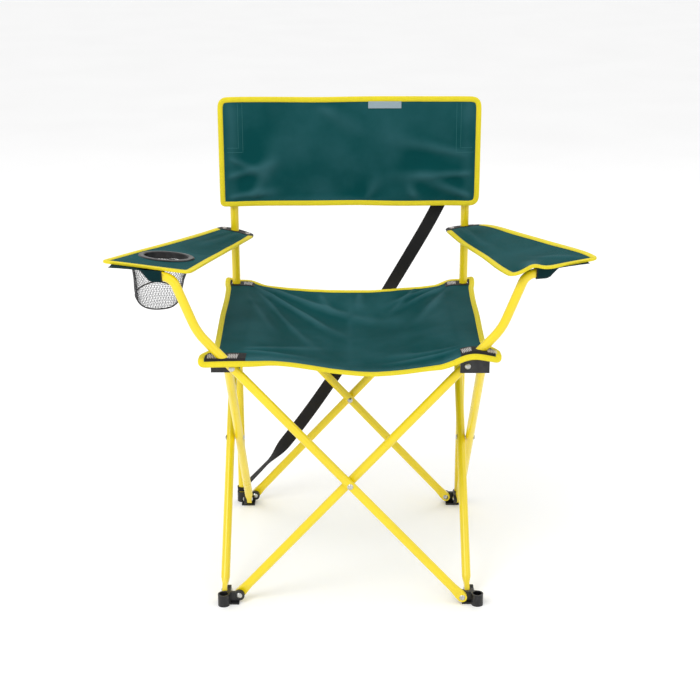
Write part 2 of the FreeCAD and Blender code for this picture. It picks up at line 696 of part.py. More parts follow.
depth = dim("net_depth")
skin = dim("net_thick")
floor = dim("net_floor")
mouth = dim("net_mouth")
net_profile = (
    (0.0, -depth), (floor, -depth), (mouth, 0.0), (mouth - skin, 0.0),
    (floor - skin, -depth + skin), (0.0, -depth + skin),
)
net_top = cup_middle - Vector(0, 0, 2 * dim("cloth_thick"))
keep(turned_body("cup_net", net_profile, Placement(net_top, Rotation())), "cup_net")


# ---------------------------------------------------------------- seat

def seat_slab(name, side, near, far, points):
    """A slab of the sling between two distances from its middle, through the seat's sections."""
    thick = Vector(0, 0, -dim("cloth_thick"))
    fold = dim("seat_fold")
    outlines = []
    for y, at_fold, at_middle in SEAT_SECTIONS:
        upper = []
        for k in range(points):
            out = near + (far - near) * k / (points - 1)
            share = min(out / fold, 1.0)
            upper.append(Vector(side * out, y, at_middle + (at_fold - at_middle) * share ** 2))
        lower = [p + thick for p in reversed(upper)]
        outlines.append(Part.makePolygon(upper + lower + upper[:1]))
    item = doc.addObject("Part::Feature", name)
    item.Shape = Part.makeLoft(outlines, True, True)
    return item


def seat_edge(name, side):
    """The flat strip along the seat's side, which rests on the corner mouldings."""
    slab = seat_slab(f"{name}_slab", side, dim("seat_fold"), dim("seat_half"), 2)
    front, rear = SEAT_SECTIONS[0][0], SEAT_SECTIONS[-1][0]
    wide = dim("seat_half") - dim("seat_fold")
    over = 1.0
    spans = (
        ("front", dim("seat_fold"), front - over, dim("notch_front")),
        ("rear", dim("notch_side"), dim("notch_rear"), rear + over),
    )
    notches = []
    for where, inner, low, high in spans:
        left = inner if side > 0 else -inner - wide
        corner = Vector(left, low, BRACKET_LOW)
        notches.append(block(f"{name}_{where}", corner, str(wide), str(high - low), "2 * Dims.seat_half"))
    return cut(name, slab, join(f"{name}_notches", notches))


for side, which in ((-1, "left"), (1, "right")):
    keep(seat_slab(f"seat_{which}", side, 0.0, dim("seat_fold"), 5), f"seat_{which}")
    keep(seat_edge(f"seat_edge_{which}", side), f"seat_edge_{which}")


# ---------------------------------------------------------------- back panel

def panel_half(name, side):
    """One half of the back panel, in front of the posts, from a post to the middle."""
    low_x = -dim("panel_half") if side < 0 else 0.0
    return block(name, Vector(low_x, dim("panel_front"), dim("panel_low")), "Dims.panel_half",
                 "Dims.panel_thick", "Dims.panel_high - Dims.panel_low")


def panel_pocket(name, side):
    """The pocket behind the panel that holds the back post's upper end."""
    back = dim("panel_front") + dim("panel_thick")
    half = dim("pocket_half")
    skin = dim("pocket_skin")
    deep = OUTER + TUBE + dim("pocket_play") + skin - back
    low = dim("panel_high") - dim("pocket_depth")
    over = 1.0
    outer = block(f"{name}_outer", Vector(side * OUTER - half, back, low), "2 * Dims.pocket_half",
                  str(deep), "Dims.pocket_depth")
    room = block(f"{name}_room", Vector(side * OUTER - half + skin, back - over, low - over),
                 "2 * (Dims.pocket_half - Dims.pocket_skin)", str(deep - skin + over),
                 "Dims.pocket_depth - Dims.pocket_skin + 1")
    return cut(name, outer, room)


for side, which in ((-1, "left"), (1, "right")):
    keep(panel_half(f"panel_{which}", side), f"panel_{which}")
    keep(panel_pocket(f"panel_pocket_{which}", side), f"panel_pocket_{which}")


# ---------------------------------------------------------------- carrying strap

strap_line = doc.addObject("Part::Feature", "strap_line")
radii = largest_radii(STRAP_ROUTE)
strap_line.Shape = tangent_path(list(STRAP_ROUTE), radii)
print("strap radii", [round(r) for r in radii])
strap = doc.addObject("Part::Feature", "strap")
way = (STRAP_ROUTE[1] - STRAP_ROUTE[0]).normalize()
across = way.cross(Y_AXIS).normalize() * (dim("strap_width") / 2)
deep = across.cross(way).normalize() * (dim("strap_thick") / 2)
ring = [STRAP_ROUTE[0] + a + b for a, b in
        ((across, deep), (across, deep * -1), (across * -1, deep * -1), (across * -1, deep))]
section = Part.makePolygon(ring + ring[:1])
strap.Shape = strap_line.Shape.makePipeShell([section], True, False)
keep(strap, "strap")
expected = dim("strap_width") * dim("strap_thick") * strap_line.Shape.Length
print("strap length", round(strap_line.Shape.Length, 1), "volume share", strap.Shape.Volume / expected)

loop_low = Vector(-OUTER, OUTER, dim("foot_height") + 2.0)
loop_outer = rod("strap_loop_outer", "Dims.tube_radius + 2.0", "Dims.loop_height", loop_low, Z_AXIS)
loop_inner = rod("strap_loop_inner", "Dims.tube_radius + 0.3", "Dims.loop_height", loop_low, Z_AXIS)
keep(cut("strap_loop", loop_outer, loop_inner), "strap_loop")


# ---------------------------------------------------------------- check and write

doc.recompute()
for item in doc.Objects:
    if "Invalid" in item.State or "Error" in item.State:
        raise RuntimeError(f"{item.Name} failed: {item.State}")
os.makedirs("parts", exist_ok=True)
for item in nodes:
    if item.Shape.isNull() or not item.Shape.isValid():
        raise RuntimeError(f"{item.Label} has no valid shape")
    item.Shape.exportStep(f"parts/{item.Label}.step")
print(len(nodes), "pieces")
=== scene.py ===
"""Looks of a folding camp chair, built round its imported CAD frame.

Metres, Z up, the chair faces -Y.  The tubes, mouldings, rivets, caps and the cup ring are the CAD's own and
get materials here.  The fabric, binding, stitching, webbing, net and tag are made here.
"""

import bisect
import json
import math

import bpy
import numpy as np
from mathutils import Vector, noise
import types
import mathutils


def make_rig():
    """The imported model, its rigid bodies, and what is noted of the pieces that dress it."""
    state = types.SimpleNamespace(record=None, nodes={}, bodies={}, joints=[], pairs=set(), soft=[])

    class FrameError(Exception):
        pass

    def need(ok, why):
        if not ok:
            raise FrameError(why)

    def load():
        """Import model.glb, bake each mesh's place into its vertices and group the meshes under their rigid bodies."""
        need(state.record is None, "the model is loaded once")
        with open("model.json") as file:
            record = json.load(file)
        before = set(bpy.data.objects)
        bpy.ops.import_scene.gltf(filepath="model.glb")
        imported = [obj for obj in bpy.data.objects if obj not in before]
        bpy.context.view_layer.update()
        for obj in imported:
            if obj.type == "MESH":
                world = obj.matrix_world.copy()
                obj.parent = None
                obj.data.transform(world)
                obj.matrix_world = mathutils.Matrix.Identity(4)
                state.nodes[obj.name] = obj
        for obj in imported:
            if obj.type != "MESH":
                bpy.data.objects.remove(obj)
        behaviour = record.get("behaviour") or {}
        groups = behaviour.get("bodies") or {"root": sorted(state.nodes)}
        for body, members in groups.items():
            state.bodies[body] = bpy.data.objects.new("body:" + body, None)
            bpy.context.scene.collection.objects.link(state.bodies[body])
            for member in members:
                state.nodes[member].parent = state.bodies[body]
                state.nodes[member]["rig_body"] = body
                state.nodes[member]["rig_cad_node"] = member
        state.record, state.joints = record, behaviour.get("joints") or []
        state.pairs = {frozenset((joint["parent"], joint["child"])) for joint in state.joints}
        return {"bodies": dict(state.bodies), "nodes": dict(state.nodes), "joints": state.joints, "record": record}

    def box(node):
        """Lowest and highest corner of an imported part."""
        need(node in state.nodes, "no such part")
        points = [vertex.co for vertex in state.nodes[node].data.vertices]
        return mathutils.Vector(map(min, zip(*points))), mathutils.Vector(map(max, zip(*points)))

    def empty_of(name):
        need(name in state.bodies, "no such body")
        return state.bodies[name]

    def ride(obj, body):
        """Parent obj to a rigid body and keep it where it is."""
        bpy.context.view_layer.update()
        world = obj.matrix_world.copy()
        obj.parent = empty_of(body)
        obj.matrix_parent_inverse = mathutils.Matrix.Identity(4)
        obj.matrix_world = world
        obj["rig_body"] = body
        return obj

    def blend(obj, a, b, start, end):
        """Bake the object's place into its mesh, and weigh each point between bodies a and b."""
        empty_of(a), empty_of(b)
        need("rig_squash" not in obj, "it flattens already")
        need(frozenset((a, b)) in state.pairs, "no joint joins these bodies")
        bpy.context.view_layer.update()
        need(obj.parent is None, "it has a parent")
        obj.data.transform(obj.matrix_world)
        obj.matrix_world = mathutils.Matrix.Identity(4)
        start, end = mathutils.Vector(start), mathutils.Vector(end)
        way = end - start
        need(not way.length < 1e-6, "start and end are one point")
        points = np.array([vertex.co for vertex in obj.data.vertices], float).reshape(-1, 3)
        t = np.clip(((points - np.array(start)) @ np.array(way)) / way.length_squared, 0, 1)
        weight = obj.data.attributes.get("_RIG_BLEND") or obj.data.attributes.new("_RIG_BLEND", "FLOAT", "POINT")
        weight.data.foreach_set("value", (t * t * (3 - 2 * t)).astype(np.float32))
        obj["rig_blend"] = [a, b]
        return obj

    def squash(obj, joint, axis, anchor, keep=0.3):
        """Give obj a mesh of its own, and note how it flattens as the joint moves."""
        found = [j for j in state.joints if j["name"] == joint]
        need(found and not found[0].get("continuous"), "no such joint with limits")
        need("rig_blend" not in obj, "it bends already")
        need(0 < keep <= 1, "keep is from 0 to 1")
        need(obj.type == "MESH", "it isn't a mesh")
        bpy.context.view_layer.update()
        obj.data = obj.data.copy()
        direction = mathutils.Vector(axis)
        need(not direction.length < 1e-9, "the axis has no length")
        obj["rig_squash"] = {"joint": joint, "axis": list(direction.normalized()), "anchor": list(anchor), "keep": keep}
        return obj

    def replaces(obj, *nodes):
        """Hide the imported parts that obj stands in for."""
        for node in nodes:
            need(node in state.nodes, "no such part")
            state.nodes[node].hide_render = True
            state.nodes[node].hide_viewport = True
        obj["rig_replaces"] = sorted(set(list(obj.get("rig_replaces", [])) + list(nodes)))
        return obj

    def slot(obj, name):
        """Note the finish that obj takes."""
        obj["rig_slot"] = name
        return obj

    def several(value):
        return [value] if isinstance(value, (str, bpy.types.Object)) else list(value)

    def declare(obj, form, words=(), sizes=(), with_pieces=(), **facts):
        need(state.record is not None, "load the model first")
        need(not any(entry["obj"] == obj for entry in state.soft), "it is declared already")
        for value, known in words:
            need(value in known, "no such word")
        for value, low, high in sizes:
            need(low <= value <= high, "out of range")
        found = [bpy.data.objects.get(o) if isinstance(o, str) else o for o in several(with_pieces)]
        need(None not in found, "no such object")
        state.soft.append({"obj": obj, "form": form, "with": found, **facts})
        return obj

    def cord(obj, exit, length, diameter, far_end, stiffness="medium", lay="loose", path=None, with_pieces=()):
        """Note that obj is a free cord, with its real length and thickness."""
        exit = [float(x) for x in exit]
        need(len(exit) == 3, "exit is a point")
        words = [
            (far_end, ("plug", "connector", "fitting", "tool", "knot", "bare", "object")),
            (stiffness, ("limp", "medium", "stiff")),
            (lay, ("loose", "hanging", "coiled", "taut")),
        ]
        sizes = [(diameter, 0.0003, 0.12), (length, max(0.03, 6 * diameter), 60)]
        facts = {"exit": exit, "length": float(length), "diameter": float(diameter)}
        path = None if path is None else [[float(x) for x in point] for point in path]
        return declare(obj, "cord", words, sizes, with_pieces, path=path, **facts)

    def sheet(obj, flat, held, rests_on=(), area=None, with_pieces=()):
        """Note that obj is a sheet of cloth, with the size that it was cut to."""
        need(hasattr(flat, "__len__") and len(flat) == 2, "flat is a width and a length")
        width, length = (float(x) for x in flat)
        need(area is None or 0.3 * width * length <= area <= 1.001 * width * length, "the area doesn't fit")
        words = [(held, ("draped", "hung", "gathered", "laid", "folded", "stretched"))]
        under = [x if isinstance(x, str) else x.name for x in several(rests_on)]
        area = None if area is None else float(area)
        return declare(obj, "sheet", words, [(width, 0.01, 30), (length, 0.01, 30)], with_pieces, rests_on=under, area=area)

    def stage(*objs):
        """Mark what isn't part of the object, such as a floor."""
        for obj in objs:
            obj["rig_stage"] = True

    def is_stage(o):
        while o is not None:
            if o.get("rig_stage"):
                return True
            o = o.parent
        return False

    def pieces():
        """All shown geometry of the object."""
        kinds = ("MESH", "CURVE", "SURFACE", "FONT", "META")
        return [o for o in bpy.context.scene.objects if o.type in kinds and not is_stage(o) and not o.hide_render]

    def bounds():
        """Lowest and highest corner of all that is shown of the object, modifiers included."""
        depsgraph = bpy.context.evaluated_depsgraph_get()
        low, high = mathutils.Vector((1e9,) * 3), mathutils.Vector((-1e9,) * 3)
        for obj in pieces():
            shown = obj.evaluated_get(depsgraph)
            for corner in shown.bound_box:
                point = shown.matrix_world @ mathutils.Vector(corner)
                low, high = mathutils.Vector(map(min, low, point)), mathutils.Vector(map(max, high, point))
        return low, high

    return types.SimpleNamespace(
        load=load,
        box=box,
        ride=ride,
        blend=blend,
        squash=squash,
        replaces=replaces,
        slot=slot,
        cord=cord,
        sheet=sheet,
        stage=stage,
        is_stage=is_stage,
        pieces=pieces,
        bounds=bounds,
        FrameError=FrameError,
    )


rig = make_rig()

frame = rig.load()
cad_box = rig.bounds()
MM = 0.001
UP = Vector((0, 0, 1))
REARWARD = Vector((0, 1, 0))
SIDES = {"left": -1, "right": 1}
TAPE_WIDTH = 8.6 * MM
STITCH_INSET = 2.2 * MM
STITCH_LIFT = 1.15 * MM


def middle_of(node):
    low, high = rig.box(node)
    return (low + high) / 2


def lerp(a, b, share):
    return a + (b - a) * share


def smooth(low, high, value):
    """0 up to low, 1 from high, and a smooth rise between."""
    share = min(max((value - low) / (high - low), 0.0), 1.0)
    return share * share * (3 - 2 * share)


def curve(points, x):
    """The value at x of a smooth curve through (x, value) points."""
    k = bisect.bisect_right([p[0] for p in points], x) - 1
    k = min(max(k, 0), len(points) - 2)
    (x0, v0), (x1, v1) = points[k], points[k + 1]
    before, after = points[max(k - 1, 0)], points[min(k + 2, len(points) - 1)]
    span = x1 - x0
    share = min(max((x - x0) / span, 0.0), 1.0)
    start = (v1 - before[1]) / (x1 - before[0]) * span
    end = (after[1] - v0) / (after[0] - x0) * span
    cubic = 2 * share ** 3 - 3 * share ** 2
    return (v0 * (cubic + 1) - v1 * cubic + start * share * (1 - share) ** 2
            - end * share ** 2 * (1 - share))


# ---------------------------------------------------------------- camera

camera_data = bpy.data.cameras.new("camera")
camera_data.lens = 70.0
camera_data.sensor_width = 36.0
camera = bpy.data.objects.new("camera", camera_data)
camera.location = (0.0, -2.413, 1.189)
camera.rotation_euler = (math.radians(90 - 17.96), math.radians(0.12), math.radians(-0.04))
bpy.context.scene.collection.objects.link(camera)
bpy.context.scene.camera = camera


# ---------------------------------------------------------------- shader helpers

def paint(red, green, blue):
    """A colour given in display values from 0 to 255, as the linear values that shaders use."""
    def linear(value):
        value /= 255
        return value / 12.92 if value <= 0.04045 else ((value + 0.055) / 1.055) ** 2.4
    return (linear(red), linear(green), linear(blue), 1.0)


class Nodes:
    """A new material and short ways to add and join its nodes."""

    def __init__(self, name, **settings):
        self.material = bpy.data.materials.new(name)
        self.material.use_nodes = True
        self.tree = self.material.node_tree
        self.shader = self.tree.nodes["Principled BSDF"]
        for key, value in settings.items():
            self.shader.inputs[key.replace("_", " ")].default_value = value

    def add(self, kind, inputs=None, **settings):
        """Add a node; its settings are attributes, and its inputs are values or other nodes' outputs."""
        node = self.tree.nodes.new(kind)
        for key, value in settings.items():
            setattr(node, key, value)
        for key, value in (inputs or {}).items():
            if isinstance(value, bpy.types.NodeSocket):
                self.tree.links.new(value, node.inputs[key])
            else:
                node.inputs[key].default_value = value
        return node

    def math(self, operation, a, b=0.0):
        return self.add("ShaderNodeMath", {0: a, 1: b}, operation=operation).outputs[0]

    def noise(self, scale, detail=3.0, where=None):
        """A noise from 0 to 1 in metres of the object, or of another vector."""
        inputs = {"Scale": scale, "Detail": detail}
        inputs["Vector"] = where or self.add("ShaderNodeTexCoord").outputs["Object"]
        return self.add("ShaderNodeTexNoise", inputs).outputs["Fac"]

    def ramp(self, value, stops):
        """A colour ramp; stops are (place, colour)."""
        node = self.add("ShaderNodeValToRGB", {"Fac": value})
        elements = node.color_ramp.elements
        for element, (place, colour) in zip(elements, stops):
            element.position = place
            element.color = colour
        for place, colour in stops[2:]:
            elements.new(place).color = colour
        return node.outputs["Color"]

    def span(self, value, low, high, new_low, new_high):
        inputs = {"Value": value, "From Min": low, "From Max": high, "To Min": new_low, "To Max": new_high}
        return self.add("ShaderNodeMapRange", inputs).outputs["Result"]

    def join(self, colour=None, roughness=None, bumps=()):
        """Link the results to the shader; bumps are (height, distance, strength)."""
        links = self.tree.links
        if colour is not None:
            links.new(colour, self.shader.inputs["Base Color"])
        if roughness is not None:
            links.new(roughness, self.shader.inputs["Roughness"])
        normal = None
        for height, distance, strength in bumps:
            inputs = {"Height": height, "Distance": distance, "Strength": strength}
            if normal:
                inputs["Normal"] = normal
            normal = self.add("ShaderNodeBump", inputs).outputs["Normal"]
        if normal:
            links.new(normal, self.shader.inputs["Normal"])
        return self.material


def shades(colour, dark, light):
    """A darker and a lighter version of a colour."""
    return (tuple(c * dark for c in colour[:3]) + (1.0,),
            tuple(min(c * light, 1.0) for c in colour[:3]) + (1.0,))


# ---------------------------------------------------------------- materials

YELLOW = paint(240, 214, 8)
YELLOW_TAPE = paint(232, 214, 30)
TEAL = paint(4, 70, 72)
BLACK = paint(24, 23, 25)


def frame_paint():
    """Glossy powder coat: fine orange peel, cloudy gloss and a few faint scuffs."""
    m = Nodes("frame_paint", Coat_Weight=0.35, Coat_Roughness=0.12)
    cloud = m.noise(9.0)
    peel = m.noise(900.0, 1.0)
    scuff = m.span(m.noise(55.0, 6.0), 0.62, 0.72, 0.0, 1.0)
    dark, light = shades(YELLOW, 0.93, 1.04)
    colour = m.ramp(cloud, [(0.3, dark), (0.7, light)])
    worn = m.add("ShaderNodeMix", {"Factor": m.math("MULTIPLY", scuff, 0.12), "A": colour,
                                   "B": paint(214, 186, 20)}, data_type="RGBA")
    gloss = m.math("ADD", m.span(cloud, 0.3, 0.7, 0.26, 0.34), m.math("MULTIPLY", scuff, 0.14))
    return m.join(worn.outputs["Result"], gloss, [(peel, 0.0002, 0.18), (scuff, 0.0001, 0.2)])


def black_plastic():
    """Moulded plastic with a fine grain, rubbed paler in places."""
    m = Nodes("black_plastic", Specular_IOR_Level=0.45)
    grain = m.noise(1500.0, 2.0)
    rubbed = m.span(m.noise(70.0, 5.0), 0.5, 0.75, 0.0, 1.0)
    colour = m.ramp(rubbed, [(0.0, paint(20, 20, 22)), (1.0, paint(46, 46, 48))])
    return m.join(colour, m.span(rubbed, 0.0, 1.0, 0.34, 0.52), [(grain, 0.0003, 0.35)])


def rivet_metal():
    """Plated steel with turned and scratched heads."""
    m = Nodes("rivet", Metallic=1.0)
    scratch = m.noise(1200.0, 2.0)
    cloud = m.noise(160.0)
    colour = m.ramp(cloud, [(0.3, paint(168, 168, 164)), (0.7, paint(214, 214, 208))])
    return m.join(colour, m.span(scratch, 0.3, 0.7, 0.22, 0.4), [(scratch, 0.0001, 0.3)])


def woven(name, colour, pitch, contrast, roughness, ribs=1.0, depth=0.00035, worn=None, **settings):
    """A plain weave in the cloth's own coordinates; ribs stretches it across, as in tape and webbing.

    worn is the colour that creases are rubbed to, where the cloth stands proud.
    """
    m = Nodes(name, **settings)
    lay = m.add("ShaderNodeAttribute", attribute_name="weave").outputs["Vector"]
    split = m.add("ShaderNodeSeparateXYZ", {"Vector": lay})
    warp = m.math("SINE", m.math("MULTIPLY", split.outputs["X"], 2 * math.pi / pitch))
    weft = m.math("SINE", m.math("MULTIPLY", split.outputs["Y"], 2 * math.pi / (pitch * ribs)))
    weave = m.span(m.math("MULTIPLY", warp, weft), -1.0, 1.0, 0.0, 1.0)
    slub = m.noise(260.0, 3.0, m.add("ShaderNodeVectorMath", {0: lay, 1: (1.0, 0.12, 1.0)},
                                     operation="MULTIPLY").outputs["Vector"])
    cloud = m.noise(11.0, 4.0)
    tone = m.math("ADD", m.math("MULTIPLY", weave, 0.5), m.math("MULTIPLY", slub, 0.3))
    tone = m.math("ADD", tone, m.math("MULTIPLY", cloud, 0.3))
    dark, light = shades(colour, 1 - contrast, 1 + contrast)
    base = m.ramp(tone, [(0.3, dark), (0.85, light)])
    if worn:
        proud = m.math("ADD", split.outputs["Z"], m.span(cloud, 0.35, 0.65, -0.7, 0.7))
        proud = m.span(proud, -1.2, 2.6, 0.0, 0.46)
        base = m.add("ShaderNodeMix", {"Factor": proud, "A": base, "B": worn},
                     data_type="RGBA").outputs["Result"]
    rough = m.span(cloud, 0.3, 0.7, roughness - 0.05, roughness + 0.05)
    return m.join(base, rough, [(weave, depth, 0.6), (slub, 0.0003, 0.25)])


def thread(name, colour):
    """Twisted sewing thread."""
    m = Nodes(name)
    twist = m.noise(2600.0, 2.0)
    dark, light = shades(colour, 0.75, 1.15)
    return m.join(m.ramp(twist, [(0.3, dark), (0.7, light)]), m.span(twist, 0.3, 0.7, 0.55, 0.7),
                  [(twist, 0.0003, 0.5)])


PAINT = frame_paint()
PLASTIC = black_plastic()
METAL = rivet_metal()
CLOTH = woven("cloth", TEAL, 1.1 * MM, 0.2, 0.7, worn=paint(70, 116, 124), Specular_IOR_Level=0.05)
LINING = woven("lining", paint(12, 44, 47), 1.1 * MM, 0.2, 0.7, Specular_IOR_Level=0.05)
TAPE = woven("binding", YELLOW_TAPE, 1.3 * MM, 0.12, 0.62, ribs=0.6, Specular_IOR_Level=0.35)
WEBBING = woven("webbing", BLACK, 1.7 * MM, 0.35, 0.66, ribs=1.6, depth=0.0006, Specular_IOR_Level=0.3)
TAG = woven("tag", paint(150, 168, 176), 0.7 * MM, 0.1, 0.6)
NET = thread("net", paint(88, 88, 92))
NET_CORD = woven("net_cord", paint(34, 33, 35), 1.0 * MM, 0.3, 0.7)
YELLOW_THREAD = thread("yellow_thread", paint(226, 206, 40))
TEAL_THREAD = thread("teal_thread", paint(42, 116, 116))
WHITE_THREAD = thread("white_thread", paint(214, 208, 204))

for node, obj in frame["nodes"].items():
    material = PLASTIC
    if "rivet" in node:
        material = METAL
    elif node.startswith(("leg_", "back_post_")):
        material = PAINT
    obj.data.materials.clear()
    obj.data.materials.append(material)


# ---------------------------------------------------------------- mesh helpers

def build(name, points, faces, lay, material, body, slot, sharp=40.0):
    """A mesh piece from points and faces; lay is each point's place on the flat cloth."""
    mesh = bpy.data.meshes.new(name)
    mesh.from_pydata([tuple(p) for p in points], [], faces)
    attribute = mesh.attributes.new("weave", "FLOAT_VECTOR", "POINT")
    attribute.data.foreach_set("vector", np.array(lay, np.float32).ravel())
    mesh.materials.append(material)
    mesh.validate()
    mesh.shade_smooth()
    mesh.set_sharp_from_angle(angle=math.radians(sharp))
    obj = bpy.data.objects.new(name, mesh)
    bpy.context.scene.collection.objects.link(obj)
    if body:
        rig.ride(obj, body)
    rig.slot(obj, slot)
    return obj


def crests(upper, normal):
    """How far each point of a sheet stands proud of the cloth around it, in millimetres."""
    calm = upper.copy()
    for _ in range(60):
        calm[1:-1, 1:-1] = (calm[:-2, 1:-1] + calm[2:, 1:-1] + calm[1:-1, :-2] + calm[1:-1, 2:]) / 4
    return np.sum((upper - calm) * normal, axis=2) / MM


def cloth_sheet(name, surface, size, step, thick, material, body, slot="cloth", hole=None):
    """A thin closed sheet under a surface.

    surface(s, t) gives a point of its upper side for s and t from 0 to 1, size is its rough size, and hole is
    (centre, half widths) of an elliptical hole seen from above.
    """
    columns = max(2, round(size[0] / step))
    rows = max(2, round(size[1] / step))
    upper = np.array([[tuple(surface(i / columns, j / rows)) for i in range(columns + 1)]
                      for j in range(rows + 1)])
    inside = None
    if hole:
        centre, reach = hole
        away = (upper[:, :, :2] - np.array(centre)) / np.array(reach)
        span = np.hypot(away[:, :, 0], away[:, :, 1])
        inside = span < 1.0
    along_s = np.gradient(upper, axis=1)
    along_t = np.gradient(upper, axis=0)
    normal = np.cross(along_s, along_t)
    normal /= np.linalg.norm(normal, axis=2)[:, :, None]
    if normal[:, :, 2].sum() < 0 and abs(normal[:, :, 1]).mean() < 0.9:
        normal = -normal
    index = np.arange((columns + 1) * (rows + 1)).reshape(rows + 1, columns + 1)
    kept = []
    for j in range(rows):
        for i in range(columns):
            if inside is None or not inside[j:j + 2, i:i + 2].any():
                kept.append((index[j, i], index[j, i + 1], index[j + 1, i + 1], index[j + 1, i]))
    if hole:
        edge_use = {}
        for face in kept:
            for a, b in zip(face, face[1:] + face[:1]):
                edge_use.setdefault(frozenset((int(a), int(b))), []).append(face)
        for edge in [e for e, users in edge_use.items() if len(users) == 1]:
            for k in edge:
                j, i = divmod(k, columns + 1)
                if span[j, i] < 1.6 and 0 < i < columns and 0 < j < rows:
                    upper[j, i, :2] = np.array(centre) + away[j, i] / span[j, i] * np.array(reach)
    proud = crests(upper, normal)
    flat = upper.reshape(-1, 3)
    under = flat - normal.reshape(-1, 3) * thick
    count = len(flat)
    lay = [(size[0] * i / columns, size[1] * j / rows, proud[j, i])
           for j in range(rows + 1) for i in range(columns + 1)]
    flip = np.dot(np.cross(along_s, along_t).reshape(-1, 3).sum(0), normal.reshape(-1, 3).sum(0)) < 0
    faces = []
    borders = {}
    for face in kept:
        face = tuple(int(k) for k in (reversed(face) if flip else face))
        faces.append(face)
        faces.append(tuple(count + k for k in reversed(face)))
        for a, b in zip(face, face[1:] + face[:1]):
            borders[(a, b)] = borders.get((a, b), 0) + 1
    for a, b in [pair for pair in borders if (pair[1], pair[0]) not in borders]:
        faces.append((b, a, count + a, count + b))
    used = sorted({k for face in faces for k in face})
    new = {k: n for n, k in enumerate(used)}
    points = np.vstack([flat, under])[used]
    faces = [tuple(new[k] for k in face) for face in faces]
    lay = [(lay + lay)[k] for k in used]
    return build(name, points, faces, lay, material, body, slot)


def band(name, line, inward, normals, section, material, body, slot, closed=False):
    """A closed band swept along a line; section's points are (inward, along the normal)."""
    count = len(section)
    points, lay, faces = [], [], []
    reach = 0.0
    around = [0.0]
    for a, b in zip(section, section[1:]):
        around.append(around[-1] + math.dist(a, b))
    for k, (place, across, normal) in enumerate(zip(line, inward, normals)):
        if k:
            reach += (place - line[k - 1]).length
        for n, (inner, up) in enumerate(section):
            points.append(place + across * inner + normal * up)
            lay.append((reach, around[n], 0.0))
    rings = len(line)
    for k in range(rings if closed else rings - 1):
        after = (k + 1) % rings
        for n in range(count):
            m = (n + 1) % count
            faces.append((k * count + n, k * count + m, after * count + m, after * count + n))
    if not closed:
        faces.append(tuple(reversed(range(count))))
        faces.append(tuple((rings - 1) * count + n for n in range(count)))
    return build(name, points, faces, lay, material, body, slot, sharp=50.0)


def heading(line, k, closed=False):
    """The direction of a line at its point k."""
    if closed:
        return line[(k + 1) % len(line)] - line[k - 1]
    return line[min(k + 1, len(line) - 1)] - line[max(k - 1, 0)]


def frames(line, normals, closed=False):
    """The direction at each point of a line that is square to the line and to the normals."""
    return [normal.cross(heading(line, k, closed)).normalized() for k, normal in enumerate(normals)]


def stitches(name, lines, material, body, length=3.0 * MM, gap=1.2 * MM, radius=0.32 * MM):
    """Rows of small raised stitches; lines are lists of (point, normal)."""
    points, faces, lay = [], [], []
    sides = 5
    for line in lines:
        reach = 0.0
        start = 0.0
        spots, tops = zip(*line)
        marks = [0.0]
        for a, b in zip(spots, spots[1:]):
            reach += (b - a).length
            marks.append(reach)
        k = 0
        while start + length < reach:
            ring_middles = []
            for share, size, lift in ((0.0, 0.3, -0.6), (0.2, 1.0, 0.25), (0.8, 1.0, 0.25), (1.0, 0.3, -0.6)):
                at = start + share * length
                while marks[k + 1] < at:
                    k += 1
                part = (at - marks[k]) / max(marks[k + 1] - marks[k], 1e-9)
                place = lerp(spots[k], spots[k + 1], part) + tops[k] * (lift * radius)
                ring_middles.append((place, size * radius, tops[k]))
            along = (ring_middles[-1][0] - ring_middles[0][0]).normalized()
            base = len(points)
            for place, size, up in ring_middles:
                side = along.cross(up).normalized()
                for n in range(sides):
                    turn = 2 * math.pi * n / sides
                    points.append(place + (side * math.cos(turn) + up * math.sin(turn)) * size)
                    lay.append((start, turn * radius, 0.0))
            for r in range(3):
                for n in range(sides):
                    m = (n + 1) % sides
                    a, b = base + r * sides, base + (r + 1) * sides
                    faces.append((a + n, a + m, b + m, b + n))
            faces.append(tuple(base + n for n in reversed(range(sides))))
            faces.append(tuple(base + 3 * sides + n for n in range(sides)))
            start += length + gap
            while k and marks[k] > start:
                k -= 1
    return build(name, points, faces, lay, material, body, "binding", sharp=60.0)


def cord_mesh(name, line, radius, material, body, slot, sides=8, closed=False):
    """A round cord along a line."""
    normals = []
    for k in range(len(line)):
        along = heading(line, k, closed)
        seed = UP if abs(along.normalized().z) < 0.8 else REARWARD
        normals.append((seed - along * (seed.dot(along) / along.length_squared)).normalized())
    inward = frames(line, normals, closed)
    section = [(radius * math.cos(2 * math.pi * n / sides), radius * math.sin(2 * math.pi * n / sides))
               for n in range(sides)]
    return band(name, line, inward, normals, section, material, body, slot, closed=closed)


def tape_section(width, thick, skin=1.1 * MM, nose=1.6 * MM):
    """The outline of a folded tape that wraps the edge of a sheet of a given thickness."""
    top, low = skin, -thick - skin
    return [(width, top * 0.35), (width - 0.8 * MM, top), (0.0, top), (-nose * 0.7, top * 0.55),
            (-nose, -thick / 2), (-nose * 0.7, -thick - skin * 0.55), (0.0, low), (width - 0.8 * MM, low),
            (width, -thick - skin * 0.35)]


def edge_of(surface, path, step=1e-3):
    """Points and normals along a path of (s, t) on a surface."""
    line, normals = [], []
    for s, t in path:
        ds = surface(min(s + step, 1.0), t) - surface(max(s - step, 0.0), t)
        dt = surface(s, min(t + step, 1.0)) - surface(s, max(t - step, 0.0))
        line.append(surface(s, t))
        normals.append(ds.cross(dt).normalized())
    return line, normals


def even(start, end, count):
    """count steps of a path from one (s, t) to another, without its last point."""
    return [(lerp(start[0], end[0], k / count), lerp(start[1], end[1], k / count)) for k in range(count)]


